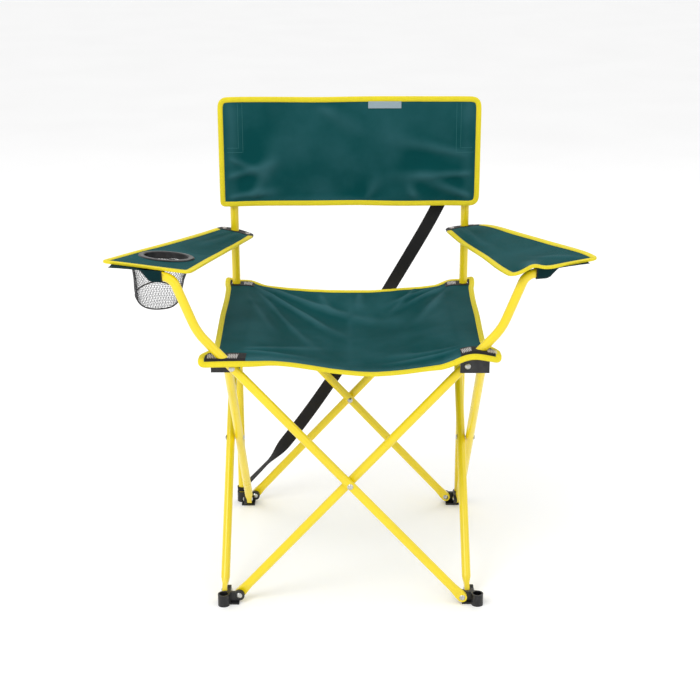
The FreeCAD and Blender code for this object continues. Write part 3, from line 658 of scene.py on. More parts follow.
def walk(stops, counts):
    """Steps of (s, t) through a list of stops; counts holds the number of steps of each stretch."""
    path = []
    for start, end, count in zip(stops, stops[1:], counts):
        path += even(start, end, count)
    return path + [stops[-1]]


def pinch(a, b, wide, tall, radius):
    """Round a sheet's corners: a and b run from -1 to 1, wide and tall are its half sizes."""
    return (a * (1 - radius / wide * abs(b) ** (tall / radius - 1)),
            b * (1 - radius / tall * abs(a) ** (wide / radius - 1)))


def draw_in(pieces, how):
    """Squash pieces from front to rear as the chair folds; how is the anchor and the share kept, or None."""
    for piece in pieces:
        if how:
            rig.squash(piece, "fold", axis=(0, 1, 0), **how)


def stitch_rows(line, inward, normals, thick):
    """A row of stitches on each side of the tape that binds an edge."""
    rows = []
    for lift, way in ((STITCH_LIFT, 1), (-thick - STITCH_LIFT, -1)):
        rows.append([(p + v * (TAPE_WIDTH - STITCH_INSET) + n * lift, n * way)
                     for p, v, n in zip(line, inward, normals)])
    return rows


def edging(name, surface, path, thick, body, how):
    """Binding and stitching along a path on the edge of a flat-lying sheet."""
    line, normals = edge_of(surface, path)
    if sum(n.z for n in normals) < 0:
        normals = [-n for n in normals]
    inward = frames(line, normals)
    middle = len(line) // 2
    if inward[middle].dot(surface(0.5, 0.5) - line[middle]) < 0:
        inward = [-v for v in inward]
    tape = band(f"{name}_binding", line, inward, normals, tape_section(TAPE_WIDTH, thick), TAPE, body,
                "binding")
    sewn = stitches(f"{name}_stitching", stitch_rows(line, inward, normals, thick), YELLOW_THREAD, body)
    draw_in((tape, sewn), how)
    return [tape, sewn]


# ---------------------------------------------------------------- carrying strap

STRAP_WIDTH = 0.025
STRAP_THICK = 0.0018
STRAP_ROUTE = (
    (0.207, 0.219, 0.716),
    (0.190, 0.2225, 0.668),
    (0.160, 0.232, 0.603),
    (0.119, 0.243, 0.527),
    (0.074, 0.247, 0.448),
    (0.024, 0.247, 0.362),
    (-0.032, 0.246, 0.271),
    (-0.088, 0.245, 0.188),
    (-0.146, 0.244, 0.110),
    (-0.196, 0.242, 0.056),
    (-0.217, 0.2405, 0.034),
)


def route_line():
    """The points of the strap's smooth line, read from a spline whose control points are the route."""
    data = bpy.data.curves.new("strap_line", "CURVE")
    data.dimensions = "3D"
    spline = data.splines.new("NURBS")
    spline.points.add(len(STRAP_ROUTE) - 1)
    for point, place in zip(spline.points, STRAP_ROUTE):
        point.co = (*place, 1.0)
    spline.order_u = 3
    spline.use_endpoint_u = True
    spline.resolution_u = 16
    curve = bpy.data.objects.new("strap_line", data)
    mesh = bpy.data.meshes.new_from_object(curve)
    line = [v.co.copy() for v in mesh.vertices]
    bpy.data.objects.remove(curve)
    bpy.data.meshes.remove(mesh)
    return line


def strap():
    """Flat webbing that faces the front and turns on edge just above the foot."""
    line = route_line()
    reach = [0.0]
    for a, b in zip(line, line[1:]):
        reach.append(reach[-1] + (b - a).length)
    across, flat = [], []
    for k, place in enumerate(line):
        along = heading(line, k).normalized()
        share = reach[k] / reach[-1]
        turn = math.radians(8) * math.sin(3 * math.pi * share)
        turn += math.radians(84) * smooth(0.83, 0.925, share)
        face = (REARWARD - along * REARWARD.dot(along)).normalized()
        side = face.cross(along)
        across.append(side * math.cos(turn) + face * math.sin(turn))
        flat.append(face * math.cos(turn) - side * math.sin(turn))
    half, deep, lip = STRAP_WIDTH / 2, STRAP_THICK / 2, 0.0007
    section = [(-half, 0.0), (-half + lip, deep), (-half / 3, deep), (half / 3, deep), (half - lip, deep),
               (half, 0.0), (half - lip, -deep), (half / 3, -deep), (-half / 3, -deep), (-half + lip, -deep)]
    piece = band("carrying_strap", line, across, flat, section, WEBBING, "rear_left_foot", "webbing")
    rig.replaces(piece, "strap")
    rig.cord(piece, exit=STRAP_ROUTE[0], length=reach[-1], diameter=STRAP_WIDTH, far_end="object",
            stiffness="limp", lay="taut", path=line)
    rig.squash(piece, "fold", axis=(1, 0, 0), anchor=(middle_of("back_post_left").x, 0, 0), keep=0.25)


def strap_loop():
    """The strap's sewn loop round the foot of the left back post."""
    post = middle_of("back_post_left")
    low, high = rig.box("strap_loop")
    rings, turns = 8, 48
    outside, inside = 2.2 * MM, 0.4 * MM
    post_radius = (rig.box("back_post_left")[1].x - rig.box("back_post_left")[0].x) / 2
    points, lay, faces = [], [], []
    for r in range(rings):
        up = lerp(low.z, high.z, r / (rings - 1))
        for n in range(turns):
            angle = 2 * math.pi * n / turns
            bulge = 0.25 * MM * math.sin(3 * angle + up * 300)
            for skin in (outside, inside):
                reach = post_radius + skin + bulge
                points.append(Vector((post.x + reach * math.cos(angle),
                                      post.y + reach * math.sin(angle), up)))
                lay.append((angle * post_radius, up, 0.0))
    for n in range(turns):
        m = (n + 1) % turns
        for r in range(rings - 1):
            a, b, c, d = ((r * turns + n) * 2, (r * turns + m) * 2, ((r + 1) * turns + m) * 2,
                          ((r + 1) * turns + n) * 2)
            faces.append((a, b, c, d))
            faces.append((d + 1, c + 1, b + 1, a + 1))
        faces.append((n * 2 + 1, m * 2 + 1, m * 2, n * 2))
        top = (rings - 1) * turns * 2
        faces.append((top + n * 2, top + m * 2, top + m * 2 + 1, top + n * 2 + 1))
    piece = build("strap_loop_webbing", points, faces, lay, WEBBING, "rear_left_foot", "webbing")
    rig.replaces(piece, "strap_loop")


strap()
strap_loop()


# ---------------------------------------------------------------- seat

SEAT_THICK = 2.2 * MM
SEAT_FOLD = -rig.box("seat_left")[0].x
SEAT_CORNER = 3.0 * MM
POST = middle_of("back_post_right")
POST_HOLE = 9.4 * MM
SEAT_SQUASH = {"anchor": (0, 0.1965, 0), "keep": 0.137}
STRIP_SQUASH = {"anchor": (0, POST.y - 5 * MM, 0), "keep": 0.2}
# Each crease runs from one point to another, (x, y) in metres, with a half width and a height.
SEAT_CREASES = (
    ((-0.190, 0.205), (0.010, -0.010), 0.013, 0.0065),
    ((-0.185, 0.185), (-0.040, -0.130), 0.010, 0.0034),
    ((-0.170, 0.212), (0.080, 0.060), 0.016, 0.0047),
    ((-0.200, 0.150), (-0.130, -0.060), 0.009, 0.0023),
    ((0.190, 0.205), (0.085, 0.120), 0.010, 0.0047),
    ((0.195, 0.190), (0.120, 0.020), 0.012, 0.0037),
    ((0.170, 0.212), (0.060, 0.140), 0.009, 0.0037),
    ((0.130, 0.216), (0.075, 0.100), 0.008, 0.0028),
    ((0.195, -0.190), (0.040, -0.170), 0.010, 0.0043),
    ((0.190, -0.175), (0.050, -0.120), 0.013, 0.0028),
    ((-0.195, -0.190), (-0.060, -0.165), 0.010, 0.0034),
    ((-0.190, -0.180), (-0.030, -0.060), 0.012, 0.0028),
    ((0.020, 0.210), (0.015, 0.120), 0.012, 0.0022),
    ((-0.060, 0.205), (-0.030, 0.100), 0.011, 0.0019),
)


def creases(x, y, table):
    """The summed height of soft creases that taper to nothing at both ends."""
    total = 0.0
    for (ax, ay), (bx, by), width, height in table:
        dx, dy = bx - ax, by - ay
        length = math.hypot(dx, dy)
        share = ((x - ax) * dx + (y - ay) * dy) / length ** 2
        if -0.2 < share < 1.2:
            off = ((x - ax) * dy - (y - ay) * dx) / length
            spread = width * (0.45 + 0.75 * max(share, 0.0))
            fade = smooth(-0.08, 0.18, share) * (1 - smooth(0.45, 1.1, share))
            total += height * fade * math.exp(-(off / spread) ** 2)
    return total


# The sling's upper side across the frame, as (x, height): its right front corner rides up on the bracket.
SEAT_FRONT = (
    (-0.260, 0.4660), (-0.190, 0.4675), (-0.165, 0.4660), (-0.085, 0.4580), (-0.030, 0.4490), (0.030, 0.4430),
    (0.090, 0.4450), (0.150, 0.4550), (0.172, 0.4640), (0.195, 0.4750), (0.215, 0.4775), (0.260, 0.4690),
)
SEAT_CENTRE = ((-0.260, 0.4665), (-0.188, 0.4655), (-0.110, 0.4430), (0.0, 0.4270), (0.110, 0.4430),
               (0.188, 0.4655), (0.260, 0.4665))
SEAT_REAR = ((-0.260, 0.4750), (-0.200, 0.4735), (-0.105, 0.4635), (0.0, 0.4600), (0.105, 0.4635),
             (0.200, 0.4735), (0.260, 0.4750))
SEAT_STATIONS = (-0.229, 0.0, 0.222)


def seat_height(x, y):
    """The sling's upper side: three sections across it, blended along its length, with creases."""
    height = 0.0
    for k, section in enumerate((SEAT_FRONT, SEAT_CENTRE, SEAT_REAR)):
        weight = 1.0
        for other in SEAT_STATIONS:
            if other != SEAT_STATIONS[k]:
                weight *= (y - other) / (SEAT_STATIONS[k] - other)
        height += weight * curve(section, x)
    free = min(1.35 - smooth(0.10, 0.235, abs(x)), 1.0)
    ripple = 1.6 * MM * noise.noise(Vector((x * 14, y * 14, 3.1)))
    ripple += 0.4 * MM * noise.noise(Vector((x * 45, y * 38, 7.7)))
    return height + (creases(x, y, SEAT_CREASES) + ripple) * free


def seat_half_width(t):
    """Half the sling's width at a share of its length: ears at the front corners, and drawn in between."""
    front = 0.024 * (1 - t) * smooth(0.07, 0.17, t)
    rear = 0.003 * smooth(0.5, 0.8, t) * (1 - smooth(0.88, 0.96, t))
    return lerp(0.2555, 0.2490, t) - (front + rear)


def seat_front(side, x):
    """Y of the front edge: it stands forward of the arm post at the corner."""
    corner = -0.2445 if side < 0 else -0.236
    return lerp(-0.232, corner, smooth(0.12, 0.20, abs(x)))


def seat_rear(x):
    """Y of the rear edge: it passes behind the back post at the corner."""
    return lerp(0.2225, 0.2475, smooth(0.165, 0.205, abs(x)))


def seat_point(side, x, t):
    """A point of the sling, for X and a share of its length; near the front edge it bends down."""
    lip, radius = 15 * MM, 5 * MM
    turn = math.radians(12 + 33 * smooth(0.12, 0.19, abs(x)))
    bent = radius * turn
    front, rear = seat_front(side, x), seat_rear(x)
    full = (radius * math.sin(turn) + (lip - bent) * math.cos(turn))
    length = rear - front - full + lip
    gone = lip - t * length
    if gone <= 0:
        y = rear - (1 - t) * length
        return Vector((x, y, seat_height(x, y) + corner_curl(x, y)))
    start = front + full
    angle = min(gone / radius, turn)
    straight = max(gone - bent, 0.0)
    y = start - radius * math.sin(angle) - straight * math.cos(turn)
    drop = radius * (1 - math.cos(angle)) + straight * math.sin(turn)
    return Vector((x, y, seat_height(x, start) - drop))


def corner_curl(x, y):
    """The rear corners' tips turn up a little behind the posts."""
    return 6 * MM * smooth(0.225, 0.25, abs(x)) * smooth(0.215, 0.25, y)


def seat_inner(side):
    return lambda s, t: seat_point(side, side * SEAT_FOLD * s, t)


def seat_strip(side):
    """The strip beside the fold, its two outer corners rounded."""
    def surface(s, t):
        b = 2 * t - 1
        half = 0.23
        width = seat_half_width(t) - SEAT_FOLD
        s_new, b_new = pinch(s, b, width, half, SEAT_CORNER)
        t_new = (b_new + 1) / 2
        x = SEAT_FOLD + (seat_half_width(t_new) - SEAT_FOLD) * s_new
        return seat_point(side, side * x, t_new)
    return surface


def post_hole(side, radius=POST_HOLE):
    """An opening for a back post, as cloth_sheet takes it."""
    return (side * POST.x, POST.y), (radius, radius)


def seat():
    """The sling in four pieces, two inner halves and two side strips, so that it can fold."""
    for which, side in SIDES.items():
        body, slider = f"seat_{which}", f"{which}_slider"
        inner = seat_inner(side)
        cloth = cloth_sheet(f"seat_cloth_{which}", inner, (SEAT_FOLD, 0.455), 3.6 * MM, SEAT_THICK, CLOTH,
                            body)
        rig.replaces(cloth, f"seat_{which}")
        pieces = []
        for end, t in (("front", 0.0), ("rear", 1.0)):
            path = walk(((0.0, t), (1.0, t)), (60,))
            pieces += edging(f"seat_{end}_{which}", inner, path, SEAT_THICK, body, SEAT_SQUASH)
        draw_in([cloth], SEAT_SQUASH)
        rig.sheet(cloth, flat=(SEAT_FOLD, 0.458), held="stretched",
                 rests_on=[f"seat_edge_cloth_{which}"], with_pieces=pieces)
        strip = seat_strip(side)
        edge = cloth_sheet(f"seat_edge_cloth_{which}", strip, (0.058, 0.47), 2.4 * MM, SEAT_THICK, CLOTH,
                           slider, hole=post_hole(side, POST_HOLE + 0.2 * MM))
        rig.replaces(edge, f"seat_edge_{which}")
        path = walk(((0.0, 0.0), (0.8, 0.0), (1.0, 0.0), (1.0, 0.04), (1.0, 0.96), (1.0, 1.0), (0.8, 1.0),
                     (0.0, 1.0)), (24, 14, 16, 150, 16, 14, 24))
        pieces = edging(f"seat_side_{which}", strip, path, SEAT_THICK, slider, STRIP_SQUASH)
        draw_in([edge], STRIP_SQUASH)
        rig.sheet(edge, flat=(0.06, 0.47), held="stretched",
                 rests_on=[f"slider_{which}", f"bracket_{which}"], with_pieces=pieces)


seat()


# ---------------------------------------------------------------- back panel

PANEL_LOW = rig.box("panel_left")[0]
PANEL_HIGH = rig.box("panel_right")[1]
PANEL_THICK = 2.6 * MM
PANEL_FACE = PANEL_LOW.y + 1.8 * MM
PANEL_CREASES = (
    ((-0.245, 0.690), (-0.120, 0.725), 0.012, 0.0033),
    ((-0.240, 0.650), (-0.130, 0.665), 0.010, 0.0039),
    ((-0.235, 0.730), (-0.150, 0.690), 0.010, 0.0024),
    ((-0.190, 0.640), (-0.140, 0.760), 0.016, 0.0024),
    ((0.245, 0.700), (0.060, 0.690), 0.012, 0.0039),
    ((0.240, 0.650), (0.120, 0.700), 0.014, 0.0039),
    ((0.230, 0.735), (0.060, 0.770), 0.014, 0.0027),
    ((0.130, 0.640), (0.110, 0.690), 0.012, 0.0027),
    ((0.030, 0.640), (0.060, 0.700), 0.013, 0.0024),
    ((-0.060, 0.830), (0.060, 0.760), 0.020, 0.0018),
)
PANEL_FOLD = {"start": (-0.03, PANEL_LOW.y, 0.74), "end": (0.03, PANEL_LOW.y, 0.74)}


def panel_surface(s, t):
    """The panel's front face, from its lower left to its upper right corner."""
    a, b = 2 * s - 1, 2 * t - 1
    half, tall = (PANEL_HIGH.x - PANEL_LOW.x) / 2, (PANEL_HIGH.z - PANEL_LOW.z) / 2
    pull = (5.2 if b > 0 or a > 0 else 2.4) * MM
    a_new, b_new = pinch(a, b, half, tall, pull)
    x = half * a_new
    z = (PANEL_LOW.z + PANEL_HIGH.z) / 2 + tall * b_new
    wave = 1.4 * MM * noise.noise(Vector((x * 9, 1.3, z * 4))) * smooth(0.35, 1.0, abs(b))
    bow = 2.0 * MM * (1 - abs(a) ** 3) * smooth(0.5, 1.0, -b)
    inside = smooth(0.025, 0.09, 1 - abs(a)) * smooth(0.07, 0.22, 1 - abs(b))
    puff = creases(x, z, PANEL_CREASES) + 2.6 * MM * noise.noise(Vector((x * 13, 5.5, z * 13)))
    posts = 1.5 * MM * math.exp(-((abs(x) - POST.x) / 0.012) ** 2)
    return Vector((x, PANEL_FACE - puff * inside - posts, z + wave + bow))


def on_panel(x, z):
    """The panel's front face at a point (x, z) of its CAD box."""
    return panel_surface((x - PANEL_LOW.x) / (PANEL_HIGH.x - PANEL_LOW.x),
                         (z - PANEL_LOW.z) / (PANEL_HIGH.z - PANEL_LOW.z))


def panel_row(points):
    """A row for stitches on the panel's front, through (x, z) corners, in small steps."""
    row = []
    for (ax, az), (bx, bz) in zip(points, points[1:]):
        count = max(2, round(math.hypot(bx - ax, bz - az) / 0.002))
        for k in range(count):
            x, z = lerp(ax, bx, k / count), lerp(az, bz, k / count)
            row.append((Vector((x, on_panel(x, z).y - 0.1 * MM, z)), -REARWARD))
    return row


def across_fold(piece):
    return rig.blend(piece, "panel_left", "panel_right", **PANEL_FOLD)


def back_panel():
    """The panel is one piece of cloth that bends in its middle as the chair folds."""
    size = (PANEL_HIGH.x - PANEL_LOW.x, PANEL_HIGH.z - PANEL_LOW.z)
    cloth = cloth_sheet("back_panel_cloth", panel_surface, size, 3.4 * MM, PANEL_THICK, CLOTH, None)
    across_fold(cloth)
    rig.replaces(cloth, "panel_left", "panel_right")
    corner = 0.06
    path = []
    for start, end in (((0, 0), (1, 0)), ((1, 0), (1, 1)), ((1, 1), (0, 1)), ((0, 1), (0, 0))):
        near = (lerp(start[0], end[0], corner), lerp(start[1], end[1], corner))
        far = (lerp(start[0], end[0], 1 - corner), lerp(start[1], end[1], 1 - corner))
        counts = (26, 110, 26) if start[1] == end[1] else (14, 50, 14)
        path += walk((start, near, far, end), counts)[:-1]
    line = [panel_surface(s, t) for s, t in path]
    normals = [-REARWARD] * len(line)
    centre = Vector((0, PANEL_LOW.y, (PANEL_LOW.z + PANEL_HIGH.z) / 2))
    inward = [v if v.dot(centre - p) > 0 else -v for v, p in zip(frames(line, normals, closed=True), line)]
    section = tape_section(TAPE_WIDTH, PANEL_THICK)
    tape = band("back_panel_binding", line, inward, normals, section, TAPE, None,
                "binding", closed=True)
    rows = [row + row[:1] for row in stitch_rows(line, inward, normals, PANEL_THICK)]
    sewn = stitches("back_panel_stitching", rows, YELLOW_THREAD, None)
    corners = []
    for side in SIDES.values():
        for inset in (0.0, 0.0085):
            out = side * (0.2063 + inset)
            bottom = 0.7405 + inset
            corners.append(panel_row([(out, PANEL_HIGH.z - 0.011), (out, bottom), (side * 0.2425, bottom)]))
    pocket_rows = stitches("back_panel_pocket_stitching", corners, TEAL_THREAD, None, radius=0.4 * MM)
    for piece in (tape, sewn, pocket_rows):
        across_fold(piece)
    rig.sheet(cloth, flat=size, held="stretched", rests_on=["back_post_left", "back_post_right"],
             with_pieces=[tape, sewn, pocket_rows])


def tag():
    """A plain woven tag under the binding of the upper edge."""
    left, right, top, low = 0.036, 0.0995, PANEL_HIGH.z - 7 * MM, PANEL_HIGH.z - 21 * MM
    size = (right - left, top - low)

    def surface(s, t):
        x, z = lerp(left, right, s), lerp(low, top, t)
        return Vector((x, on_panel(x, z).y - 0.9 * MM - 0.5 * MM * (1 - t), z))
    piece = cloth_sheet("tag", surface, size, 1.5 * MM, 0.7 * MM, TAG, "panel_right", slot="tag")
    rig.sheet(piece, flat=size, held="laid", rests_on=["back_panel_cloth"])


POCKET_INSET = 6 * MM
POCKET_DROP = 9 * MM


def back_pocket(which, side):
    """The pocket sewn behind the panel that slips over a post's end, and its three seams."""
    low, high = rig.box(f"panel_pocket_{which}")
    behind = PANEL_FACE + PANEL_THICK
    reach = high.y - behind - 1.2 * MM
    width = high.x - low.x
    tall = high.z - low.z

    def surface(s, t):
        a = 2 * s - 1
        x = lerp(low.x + POCKET_INSET, high.x - POCKET_INSET, s)
        z = lerp(low.z, high.z - POCKET_DROP, t)
        bulge = math.sqrt(max(1 - (abs(a) / 0.62) ** 2.4, 0.0)) if abs(a) < 0.62 else 0.0
        hem = 0.6 * MM * noise.noise(Vector((x * 60, z * 30, side)))
        close = 1 - smooth(0.93, 1.0, t) * 0.8
        return Vector((x, behind + 1.3 * MM + reach * bulge * close + hem * (1 - bulge), z))
    piece = cloth_sheet(f"back_pocket_{which}", surface, (width + 2 * reach, tall), 1.6 * MM, -1.2 * MM,
                        CLOTH, f"panel_{which}")
    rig.replaces(piece, f"panel_pocket_{which}")
    rows = []
    for start, end, steps in (((0, 0.05), (1, 0.05), 59), ((0.06, 0.02), (0.06, 0.97), 49),
                              ((0.94, 0.02), (0.94, 0.97), 49)):
        rows.append([(surface(s, t) + REARWARD * 0.2 * MM, REARWARD)
                     for s, t in walk((start, end), (steps,))])
    sewn = stitches(f"back_pocket_stitching_{which}", rows, TEAL_THREAD, f"panel_{which}")
    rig.sheet(piece, flat=(width + reach, tall), held="gathered", rests_on=[f"back_post_{which}"],
             with_pieces=[sewn])


back_panel()
tag()
for which, side in SIDES.items():
    back_pocket(which, side)


# ---------------------------------------------------------------- arm rests

ARM_THICK = 2.4 * MM
ARM_PLANE = {side: middle_of(f"arm_cap_{side}").y for side in SIDES}
ARM_CORNER = 4.0 * MM
CUP_HOLE = 43.5 * MM
ARM_SPLIT = -0.060
ARM_REAR_IN = Vector((0.186, 0.208))
ARM_REAR_OUT = Vector((0.254, 0.244))
ARM_FRONT_IN = Vector((0.265, -0.238))
ARM_FRONT_OUT = Vector((0.416, -0.204))
ARM_FORWARD = math.tan(math.radians(4.8))
ARM_OUTWARD = math.tan(math.radians(5.1))
ARM_RIGHT_CREASES = (
    ((0.405, -0.200), (0.300, -0.120), 0.012, 0.0022),
    ((0.220, 0.205), (0.270, -0.080), 0.012, 0.0020),
)
ARM_LEFT_CREASES = (
    ((0.220, 0.205), (0.290, 0.000), 0.014, 0.0022),
    ((0.240, 0.210), (0.330, -0.020), 0.010, 0.0016),
    ((0.400, -0.200), (0.350, -0.100), 0.010, 0.0016),
)


# How much each arm rest's edges stand above a flat sheet, as (y, height).
ARM_LIFT = {
    -1: (((-0.240, 0.0), (0.000, 0.0010), (0.208, 0.0037)),
         ((-0.204, 0.0), (-0.100, 0.0025), (0.000, 0.0040), (0.150, 0.0065), (0.244, 0.0090))),
    1: (((-0.238, -0.0060), (-0.158, -0.0058), (-0.060, -0.0006), (0.079, 0.0038), (0.208, 0.0150)),
        ((-0.204, 0.0035), (-0.160, 0.0088), (-0.060, 0.0125), (0.050, 0.0155), (0.170, 0.0175),
         (0.244, 0.0120))),
}


def arm_height(side, x, y):
    """The upper side of an arm rest above a point of the ground."""
    out = abs(x)
    height = 0.577 + ARM_OUTWARD * (out - POST.x) - ARM_FORWARD * (y - POST.y)
    inner = lerp(ARM_FRONT_IN.x, ARM_REAR_IN.x, (y - ARM_FRONT_IN.y) / (ARM_REAR_IN.y - ARM_FRONT_IN.y))
    outer = lerp(ARM_FRONT_OUT.x, ARM_REAR_OUT.x, (y - ARM_FRONT_OUT.y) / (ARM_REAR_OUT.y - ARM_FRONT_OUT.y))
    share = min(max((out - inner) / (outer - inner), 0.0), 1.0)
    lifts = ARM_LIFT[side]
    height += lerp(curve(lifts[0], y), curve(lifts[1], y), share)
    slack = 4 * share * (1 - share)
    if side < 0:
        slack *= smooth(0.050, 0.085, math.hypot(out - 0.319, y + 0.114))
        height += creases(out, y, ARM_LEFT_CREASES) * slack
        height += 1.5 * MM * noise.noise(Vector((out * 16, y * 12, 2.2))) * slack
        return height - 3.5 * MM * slack * smooth(0.22, 0.05, abs(y - 0.06))
    height += 8.0 * MM * math.exp(-((out - 0.304) / 0.017) ** 2) * smooth(-0.13, -0.222, y)
    ripple = 1.5 * MM * noise.noise(Vector((out * 15, y * 11, 6.4)))
    height += (creases(out, y, ARM_RIGHT_CREASES) + ripple) * slack
    return height - 5.0 * MM * slack * smooth(0.22, 0.05, abs(y - 0.02))


def arm_surface(side, part):
    """One arm rest's upper side, in front of the split line or behind it."""
    across = (ARM_SPLIT - ARM_FRONT_IN.y) / (ARM_REAR_IN.y - ARM_FRONT_IN.y)
    split_in = lerp(ARM_FRONT_IN, ARM_REAR_IN, across)
    along = (ARM_SPLIT - ARM_FRONT_OUT.y) / (ARM_REAR_OUT.y - ARM_FRONT_OUT.y)
    split_out = lerp(ARM_FRONT_OUT, ARM_REAR_OUT, along)

    def surface(s, t):
        wide, tall = (0.074, 0.18) if part == "front" else (0.036, 0.28)
        a_new, b_new = pinch(2 * s - 1, t if part == "rear" else 1 - t, wide, tall, ARM_CORNER)
        s_new = (a_new + 1) / 2
        split = lerp(split_in, split_out, s_new)
        if part == "front":
            plan = lerp(lerp(ARM_FRONT_IN, ARM_FRONT_OUT, s_new), split, 1 - b_new)
        else:
            rounded = Vector((0, 12 * MM * math.sin(math.pi * s_new)))
            plan = lerp(split, lerp(ARM_REAR_IN, ARM_REAR_OUT, s_new) + rounded, b_new)
        waist = 2.5 * MM * math.sin(math.pi * min(max((plan.y + 0.22) / 0.45, 0), 1))
        x = plan.x + waist * (1 - 2 * s_new)
        return Vector((side * x, plan.y, arm_height(side, side * x, plan.y)))
    return surface


def zigzag(centre, along, across, normal, length, width, turns):
    """A zigzag bar of stitches: one row of (point, normal)."""
    row = []
    for k in range(turns * 6 + 1):
        share = k / (turns * 6)
        swing = abs((share * turns) % 1 * 2 - 1) * 2 - 1
        row.append((centre + along * ((share - 0.5) * length) + across * (swing * width / 2), normal))
    return row


def bar_tacks(name, rows, body, radius):
    """White bar tacks: rows of long, close stitches."""
    return stitches(name, rows, WHITE_THREAD, body, length=3.4 * MM, gap=0.5 * MM, radius=radius)


def arm_end(which, side, surface, body, squash_on):
    """Black webbing folded over an arm rest's rear end, round the back post, with bar tacks."""
    depth = 0.085

    def cover(s, t):
        base = surface(s, 1 - depth * (1 - t))
        return base + UP * 0.9 * MM
    cap = cloth_sheet(f"arm_end_{which}", cover, (0.062, 0.026), 1.6 * MM, ARM_THICK + 1.8 * MM, WEBBING,
                      body, slot="webbing", hole=post_hole(side))
    rows = []
    for s in (0.17, 0.86):
        here = cover(s, 0.5) + UP * 0.2 * MM
        rows.append(zigzag(here, Vector((side, 0, 0)), REARWARD, UP, 9 * MM, 14 * MM, 5))
    tacks = bar_tacks(f"arm_end_tacks_{which}", rows, body, 0.42 * MM)
    draw_in((cap, tacks), squash_on)
    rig.sheet(cap, flat=(0.062, 0.028), held="folded", rests_on=[f"arm_rear_{which}"], with_pieces=[tacks])


def arm_flap(which, side, body):
    """The pocket under an arm rest's front edge that takes the arm post's end."""
    end = middle_of(f"arm_cap_{which}")
    knee, tip = 0.312, 0.398
    snug = 8.8 * MM
    flat_front, flat_rear, leaves = 0.25, 0.65, math.radians(290)
    front = end.y - snug - 1.2 * MM

    def under(out, y):
        return arm_height(side, side * out, y) - ARM_THICK - 0.5 * MM

    def surface(s, t):
        out = lerp(knee, tip, s)
        rear = end.y + lerp(38, 22, s) * MM
        kept = 1 - smooth(abs(end.x) - 2 * MM, abs(end.x) + 22 * MM, out)
        centre = lerp(under(out, end.y) - 1 * MM, end.z + 0.083 * (out - abs(end.x)), kept)
        reach = snug * kept + 0.6 * MM
        if t < flat_front:
            share = t / flat_front
            y, z = lerp(front, end.y - reach, share), lerp(under(out, front), centre, share)
        elif t < flat_rear:
            angle = lerp(math.pi, leaves, (t - flat_front) / (flat_rear - flat_front))
            y, z = end.y + reach * math.cos(angle), centre + reach * math.sin(angle)
        else:
            share = (t - flat_rear) / (1 - flat_rear)
            y = lerp(end.y + reach * math.cos(leaves), rear, share)
            z = lerp(centre + reach * math.sin(leaves), under(out, rear), share)
        return Vector((side * out, y, z + 0.5 * MM * noise.noise(Vector((out * 70, t * 5, side)))))
    piece = cloth_sheet(f"arm_pocket_{which}", surface, (tip - knee, 0.072), 2.0 * MM, 1.2 * MM, LINING,
                        body)
    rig.replaces(piece, f"arm_flap_{which}")
    line = [surface(0.0, k / 60) for k in range(61)]
    rim = cord_mesh(f"arm_pocket_rim_{which}", line, 1.5 * MM, WEBBING, body, "webbing")
    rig.sheet(piece, flat=(tip - knee, 0.072), held="stretched", rests_on=[f"arm_front_{which}"],
             with_pieces=[rim])
    return piece, rim


def arm_rest(which, side):
    """The cloth, binding and rear webbing of one arm rest, in two pieces along it."""
    body = f"{which}_arm"
    if side < 0:
        squashes = {"front": None, "rear": {"anchor": (0, ARM_SPLIT, 0), "keep": 0.1}}
    else:
        whole = {"anchor": (0, ARM_PLANE[which] - 0.016, 0), "keep": 0.42}
        squashes = {"front": whole, "rear": whole}
    for part, squash_on in squashes.items():
        surface = arm_surface(side, part)
        name = f"arm_{part}_{which}"
        size = (0.14, 0.165) if part == "front" else (0.095, 0.30)
        hole = None
        if part == "rear":
            hole = post_hole(side)
        elif side < 0:
            cup = middle_of("cup_ring")
            hole = ((cup.x, cup.y), (CUP_HOLE, CUP_HOLE))
        cloth = cloth_sheet(name, surface, size, 2.6 * MM, ARM_THICK, CLOTH, body, hole=hole)
        if part == "front":
            path = walk(((0, 1), (0, 0.08), (0, 0), (0.1, 0), (0.9, 0), (1, 0), (1, 0.08), (1, 1)),
                        (60, 14, 14, 60, 14, 14, 60))
            pieces = edging(name, surface, path, ARM_THICK, body, squash_on)
        else:
            pieces = []
            for label, s in (("inner", 0.0), ("outer", 1.0)):
                path = walk(((s, 0.0), (s, 0.925)), (100,))
                pieces += edging(f"{name}_{label}", surface, path, ARM_THICK, body, squash_on)
            arm_end(which, side, surface, body, squash_on)
        draw_in([cloth], squash_on)
        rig.replaces(cloth, f"arm_{which}")
        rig.sheet(cloth, flat=size, held="stretched", rests_on=[f"back_post_{which}"], with_pieces=pieces)
    draw_in(arm_flap(which, side, body), squashes["front"])


for which, side in SIDES.items():
    arm_rest(which, side)


# ---------------------------------------------------------------- cup holder net

